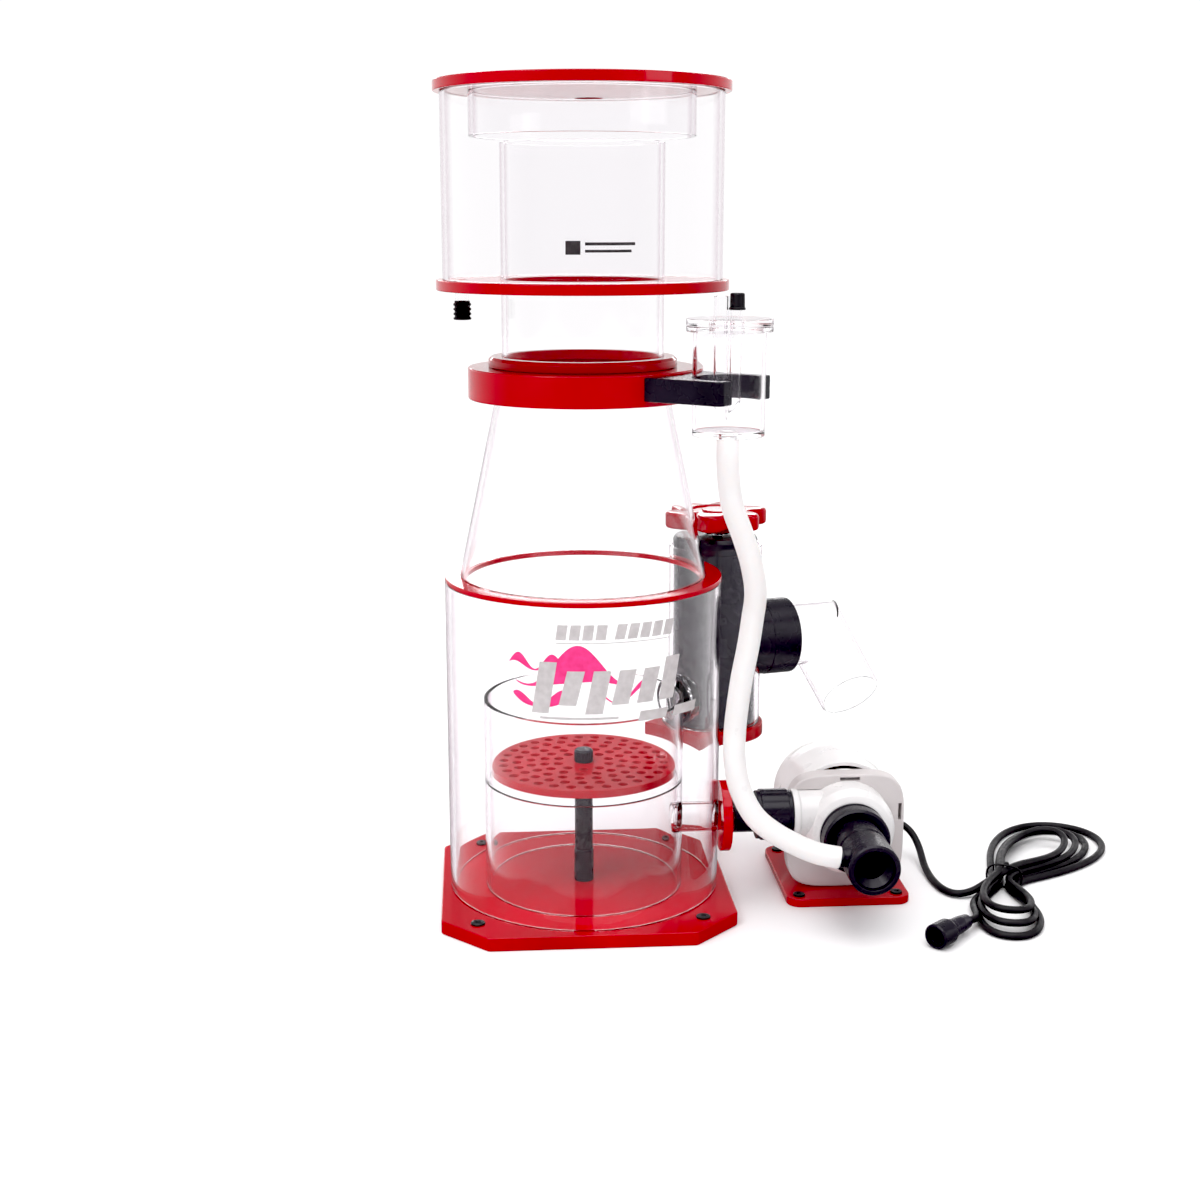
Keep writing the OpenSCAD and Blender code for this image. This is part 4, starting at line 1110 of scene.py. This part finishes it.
# ---------------------------------------------------------------- pump
def pump():
    axis = centre_of("pump_rotor")
    place = at(axis.x, 0, axis.z, ALONG_Y)
    low, high = box_mm("pump_base")
    middle = (low + high) / 2
    half_x, half_y = (high.x - low.x) / 2, (high.y - low.y) / 2
    reach_x, reach_y = half_x - PUMP_PLUG_INSET, half_y - PUMP_PLUG_INSET
    holes = [circle(4.0, sx * reach_x, sy * reach_y) for sx in (-1, 1) for sy in (-1, 1)]
    corners = [(-half_x, -half_y), (half_x, -half_y), (half_x, half_y), (-half_x, half_y)]
    dress(plate("pump_base_cast", [rounded(corners, 10, 8)] + holes, low.z, high.z, 0.8,
                at(middle.x, middle.y)), "pump_base")
    plugs("pump_base_rubber_plugs", "pump_base_plugs", reach_x, reach_y, middle.y, 3.8, 4.4,
          high.z, 1.4, middle.x)
    motor_shell(axis, place)
    cover(axis)
    volute(axis, place)
    intake(axis, place)
    for node in ("pump_stator", "pump_rotor", "pump_impeller", "pump_shaft", "pump_bushes",
                 "cup_seal"):
        paint(frame["nodes"][node], MATERIALS[SLOT_OF[node]])


def motor_shell(axis, place):
    low, high = box_mm("pump_motor_shell")
    front, back = low.y, high.y
    r = high.z - axis.z
    outline = [(0, front + 60), (r - 3, front + 60), (r - 3, front), (r, front), (r, front + 42),
               (r - 1, back - 28), (r - 4, back - 14), (r - 9, back - 4), (r - 16, back), (0, back)]
    radii = [0, 1, 0.4, 0.6, 8, 10, 8, 6, 5, 0]
    shell = lathe("motor_shell_round", rounded(outline, radii, 5), place, 144)
    foot_top = 6.0
    feet = [(-28, foot_top), (28, foot_top), (28, 30), (-28, 30)]
    foot = plate("motor_foot", [rounded(feet, [3, 3, 1, 1], 4)], front + 0.2, front + 60, 2,
                 at(axis.x, 0, 0) @ Matrix.Rotation(math.radians(90), 4, "X")
                 @ Matrix.Scale(-1, 4, (0, 0, 1)))
    inside = rod("motor_inside", r - 3, front - 1, front + 60, place, 144)
    cut(foot, inside)
    gland = box_mm("pump_cord_gland")[0]
    middle = centre_of("pump_cord_gland")
    boss = disc("gland_boss", 8, axis.x + 12, gland.x, at(0, middle.y, middle.z, ALONG_X), 1.0, 64)
    dress(join("motor_shell_moulded", [shell, foot, boss]), "pump_motor_shell")


def cover(axis):
    """Light grey front cover: a softened square with two clip slots."""
    low, high = box_mm("pump_front_cover")
    half = (high.x - low.x) / 2
    middle_z = (low.z + high.z) / 2
    outline = []
    count = 240
    for k in range(count):
        turn = 2 * math.pi * k / count
        c, s = math.cos(turn), math.sin(turn)
        power = 4.4
        r = half / (abs(c) ** power + abs(s) ** power) ** (1 / power)
        outline.append((r * c, r * s))
    upright = at(axis.x, 0, middle_z) @ Matrix.Rotation(math.radians(90), 4, "X")
    body = plate("cover_body", [outline, circle(29, 0, axis.z - middle_z, 96)], -high.y, -low.y, 1.6,
                 upright, 40)
    for name, place, size in (("top_slot", (axis.x + 2, low.y + 3, high.z - 3.5), (15, 9, 2.6)),
                              ("side_slot", (axis.x + half - 3.6, low.y + 3, axis.z + 8.5),
                               (2.6, 9, 13))):
        cut(body, block(name, place, size))
    outlet = centre_of("inlet_pipe")
    cut(body, rod("port_hole", 17.4, 100, axis.x, at(0, outlet.y, outlet.z, ALONG_X)))
    dress(body, "pump_front_cover")


def block(name, place, size):
    x, y, z = (v / 2 for v in size)
    verts = [(sx * x, sy * y, sz * z) for sx in (-1, 1) for sy in (-1, 1) for sz in (-1, 1)]
    faces = [(0, 1, 3, 2), (4, 6, 7, 5), (0, 4, 5, 1), (2, 3, 7, 6), (0, 2, 6, 4), (1, 5, 7, 3)]
    return new_object(name, verts, faces, at(*place))


def volute(axis, place):
    """White pump chamber with a bulged front and the discharge port towards the skimmer."""
    low, high = box_mm("pump_volute")
    front, back = low.y, high.y
    r = VOLUTE_R
    outline = [(14, front), (25, front), (29.5, front + 2.2), (r, front + 8), (r + 0.5, back - 9),
               (38.5, back - 3.5), (38.5, back), (r - 3, back), (r - 3, front + 7), (24, front + 3),
               (14, front + 3)]
    chamber_body = lathe("volute_round",
                         rounded(outline, [0.5, 3, 3, 5, 4, 2, 0.4, 0, 3, 2, 0.3], 5), place, 144)
    # Three arms in the mouth carry the hub of the front bush.
    spider = [tube("bush_hub", 8, 6.2, front, front + 25, place, 0.4, 64)]
    for k in range(3):
        arm = block(f"bush_arm_{k}", (0, 0, 0), (3, 2, 8))
        arm.data.transform(at(axis.x * MM, (front + 1.5) * MM, axis.z * MM)
                           @ Matrix.Rotation(math.radians(120 * k), 4, "Y")
                           @ Matrix.Translation((0, 0, 11 * MM)))
        spider.append(arm)
    outlet = centre_of("inlet_pipe")
    along = at(0, outlet.y, outlet.z, ALONG_X)
    start = low.x
    outline = [(13, start), (18.2, start), (18.2, start + 4), (17, start + 5.5),
               (17, axis.x - 14), (13, axis.x - 14)]
    port = lathe("volute_port", rounded(outline, [0.5, 0.8, 0.8, 1, 0, 0], 3), along, 112)
    cut(port, rod("volute_clear", r - 3, front + 3, back + 1, place, 144))
    body = combine(chamber_body, port, "UNION")
    dress(join("volute_moulded", [body] + spider), "pump_volute")


def intake(axis, place):
    """Black intake: the screwed ring, and the nozzle with its air hose barb."""
    low, high = box_mm("pump_intake_ring")
    r = (high.x - low.x) / 2
    outline = [(18.6, low.y), (r - 1.5, low.y), (r, low.y + 1.5), (r, high.y - 5), (r - 1.2, high.y - 4),
               (r - 1.2, high.y - 2), (r, high.y - 1.6), (r, high.y), (14, high.y),
               (14, high.y - 4), (18.6, high.y - 4)]
    dress(lathe("intake_ring_moulded", rounded(outline, 0.6, 3), place, 128), "pump_intake_ring")

    low, high = box_mm("pump_intake_nozzle")
    front, back = low.y, high.y
    r = high.x - axis.x
    outline = [(14.5, front), (r - 1.2, front), (r, front + 1.2), (r, front + 21), (r - 0.8, front + 22.5),
               (r - 0.8, front + 34), (r, front + 35.5), (r, back), (9, back), (9, front + 9),
               (14, front + 4)]
    nozzle = lathe("nozzle_round", rounded(outline, 0.7, 4), place, 128)
    hose_end = Vector(HOSE_ROUTE[-1])
    barb = [(4, hose_end.x), (6.6, hose_end.x), (7.5, hose_end.x + 2), (6.9, hose_end.x + 2.3),
            (6.9, hose_end.x + 3.5), (7.5, axis.x - r + 2), (7.5, axis.x - 14), (4, axis.x - 14)]
    arm = lathe("nozzle_barb", rounded(barb, 0.25, 2), at(0, hose_end.y, hose_end.z, ALONG_X), 64)
    body = combine(nozzle, arm, "UNION")
    cut(body, rod("nozzle_bore", 9, front + 2, back + 1, place, 96))
    dress(body, "pump_intake_nozzle")


# ---------------------------------------------------------------- printed marks
def on_tube(name, outlines, radius, thickness, node, material, middle, heading):
    """Flat outlines in millimetres, wrapped on a tube facing a heading and joined to one print."""
    verts, faces = [], []
    for outline in outlines:
        for left, right in zip(outline, outline[1:]):
            start = len(verts)
            for (u, low, high) in (left, right):
                for r in (radius, radius + thickness):
                    for v in (low, high):
                        turn = math.radians(heading) + u / radius
                        verts.append((r * math.cos(turn), r * math.sin(turn), middle + v))
            for face in ((0, 1, 3, 2), (4, 6, 7, 5), (0, 2, 6, 4), (1, 5, 7, 3), (0, 4, 5, 1),
                         (2, 3, 7, 6)):
                faces.append(tuple(start + f for f in face))
    obj = new_object(name, verts, faces, None, 40)
    return dress(obj, node, material, False)


def bar(start, end, low, high, lean=0.0, steps=8):
    """A strip between two places, whose ends lean over by lean."""
    out = [(start, low, low + 0.02)] if lean else []
    for k in range(steps + 1):
        out.append((start + lean + (end - start - lean) * k / steps, low, high))
    return out + [(end + lean, high - 0.02, high)] if lean else out


def crest(start, end, base_v, height, thick, phase=0.0, waves=1.5, steps=44):
    """A wave band whose thickness swells at each crest."""
    out = []
    for k in range(steps + 1):
        t = k / steps
        u = start + (end - start) * t
        rise = math.sin(2 * math.pi * (t * waves + phase))
        width = 0.1 + thick * math.sin(math.pi * t) ** 0.7 * (0.55 + 0.45 * rise)
        v = base_v + height * rise
        out.append((u, v - width, v + width))
    return out


def prints():
    """Generic printed marks: pink waves with grey bars on the body, and bars on the neck."""
    low, high = box_mm("body_tube")
    radius = high.x + 0.02
    facing = -93.6
    waves = [crest(-53, -14, 12, 4, 5.0, 0.0), crest(-48, 30, 5, 8, 13.0, 0.62, 1.1),
             crest(-50, -8, -13, 4, 8.0, 0.3, 1.0), crest(8, 52, -8, 7, 2.8, 0.4, 1.0)]
    on_tube("body_print_waves", waves, radius, 0.12, "body_tube", PINK_INK, 190, facing)
    radius += 0.14
    bars = [bar(start, start + 12, low_v, high_v, 6) for start, low_v, high_v in
            ((-36, -22, 14), (-17, -16, 8), (1, -22, 8), (19, -16, 8), (37, -16, 8), (54, -16, 14))]
    bars += [bar(-30, 24, -26, -24.4), bar(38, 60, -29, -22, 2), bar(66, 88, -29, -22, 2)]
    bars += [bar(start, start + 7, 29.5, 40, 1.5, 3) for start in (-19, -10, -1, 8)]
    bars += [bar(start, start + 7, 29.5, 40, 2.5, 3) for start in (21, 30, 39, 48, 57)]
    bars += [bar(-19, 62, 27, 27.7, 0, 16)]
    on_tube("body_print_bars", bars, radius, 0.12, "body_tube", GREY_INK, 190, facing)

    low, high = box_mm("cup_neck")
    radius = high.x + 0.02
    rows = [bar(-13, -3, -4, 5, 0, 6), bar(0, 36, 2, 4, 0, 12), bar(0, 33, -2.6, -0.8, 0, 12)]
    on_tube("neck_print_bars", rows, radius, 0.1, "cup_neck", BLACK_INK, 476, -92.0)


base()
body()
chamber()
inlet()
valve()
spout()
collar()
cup()
lid()
silencer()
pump()
prints()


# ---------------------------------------------------------------- studio
def studio():
    floor = new_object("studio_floor", [(-6000, -6000, -0.05), (6000, -6000, -0.05),
                                        (6000, 6000, -0.05), (-6000, 6000, -0.05)],
                       [(0, 1, 2, 3)])
    floor.data.materials.append(solid("studio_floor_paint", (0.955, 0.95, 0.955), (0.97, 0.965, 0.97),
                                      (0.5, 0.6), (40, 0.02, 0.0005), 2))

    world = bpy.data.worlds.new("studio_world")
    bpy.context.scene.world = world
    world.use_nodes = True
    tree = world.node_tree
    sky = tree.nodes["Background"]
    where = add(tree, "ShaderNodeTexCoord")
    split = add(tree, "ShaderNodeSeparateXYZ", None, {"Vector": where.outputs["Generated"]})
    # The room is dim in front of the object and bright behind it.
    depth = spread(tree, split.outputs["Y"], 0, 1, -1, 1)
    tint = two_tone(tree, depth, (0.34, 0.325, 0.35), (1.0, 0.995, 1.0), (0.44, 0.84))
    tree.links.new(tint, sky.inputs["Color"])
    # Bands of the sky by height: dim below the horizon, bright just above what the camera sees,
    # and dark overhead.
    level = None
    for low, high, start, end in ((0.25, 1.05, -0.3, -0.1), (1.0, 8.0, 0.172, 0.187),
                                  (1.0, 0.06, 0.205, 0.235)):
        band = spread(tree, split.outputs["Z"], low, high, start, end)
        if level is not None:
            both = add(tree, "ShaderNodeMath", None, {0: level, 1: band})
            both.operation = "MULTIPLY"
            band = both.outputs["Value"]
        level = band
    tree.links.new(level, sky.inputs["Strength"])
    # Mirror reflections see the dim lower sky, so the clear tubes keep what stands in them dark.
    floor.visible_glossy = False

    def lamp(name, kind, power, place, turn):
        data = bpy.data.lights.new(name, kind)
        data.energy = power
        obj = bpy.data.objects.new(name, data)
        bpy.context.scene.collection.objects.link(obj)
        obj.location = place
        obj.rotation_euler = turn
        return data

    middle = Vector((0.05, 0, 0.28))
    for name, power, place in (("key_light", 14, (-1.5, -1.6, 1.7)),
                               ("fill_light", 8, (1.7, -1.2, 1.3))):
        turn = (middle - Vector(place)).to_track_quat("-Z", "Y").to_euler()
        panel = lamp(name, "AREA", power, place, turn)
        panel.shape = "RECTANGLE"
        panel.size, panel.size_y = 0.9, 1.4
    sun = lamp("even_light", "SUN", 2.9, (0, 0, 0), (math.radians(12), math.radians(-8), 0))
    sun.angle = math.radians(70)

    scene = bpy.context.scene
    scene.view_settings.view_transform = "Standard"
    scene.view_settings.look = "None"
    scene.view_settings.use_curve_mapping = True
    curves = scene.view_settings.curve_mapping
    curves.black_level = (0.025, 0.025, 0.025)
    curves.update()
    scene.cycles.max_bounces = 28
    scene.cycles.transmission_bounces = 28
    scene.cycles.transparent_max_bounces = 48
    scene.cycles.glossy_bounces = 6
    scene.cycles.diffuse_bounces = 3


studio()
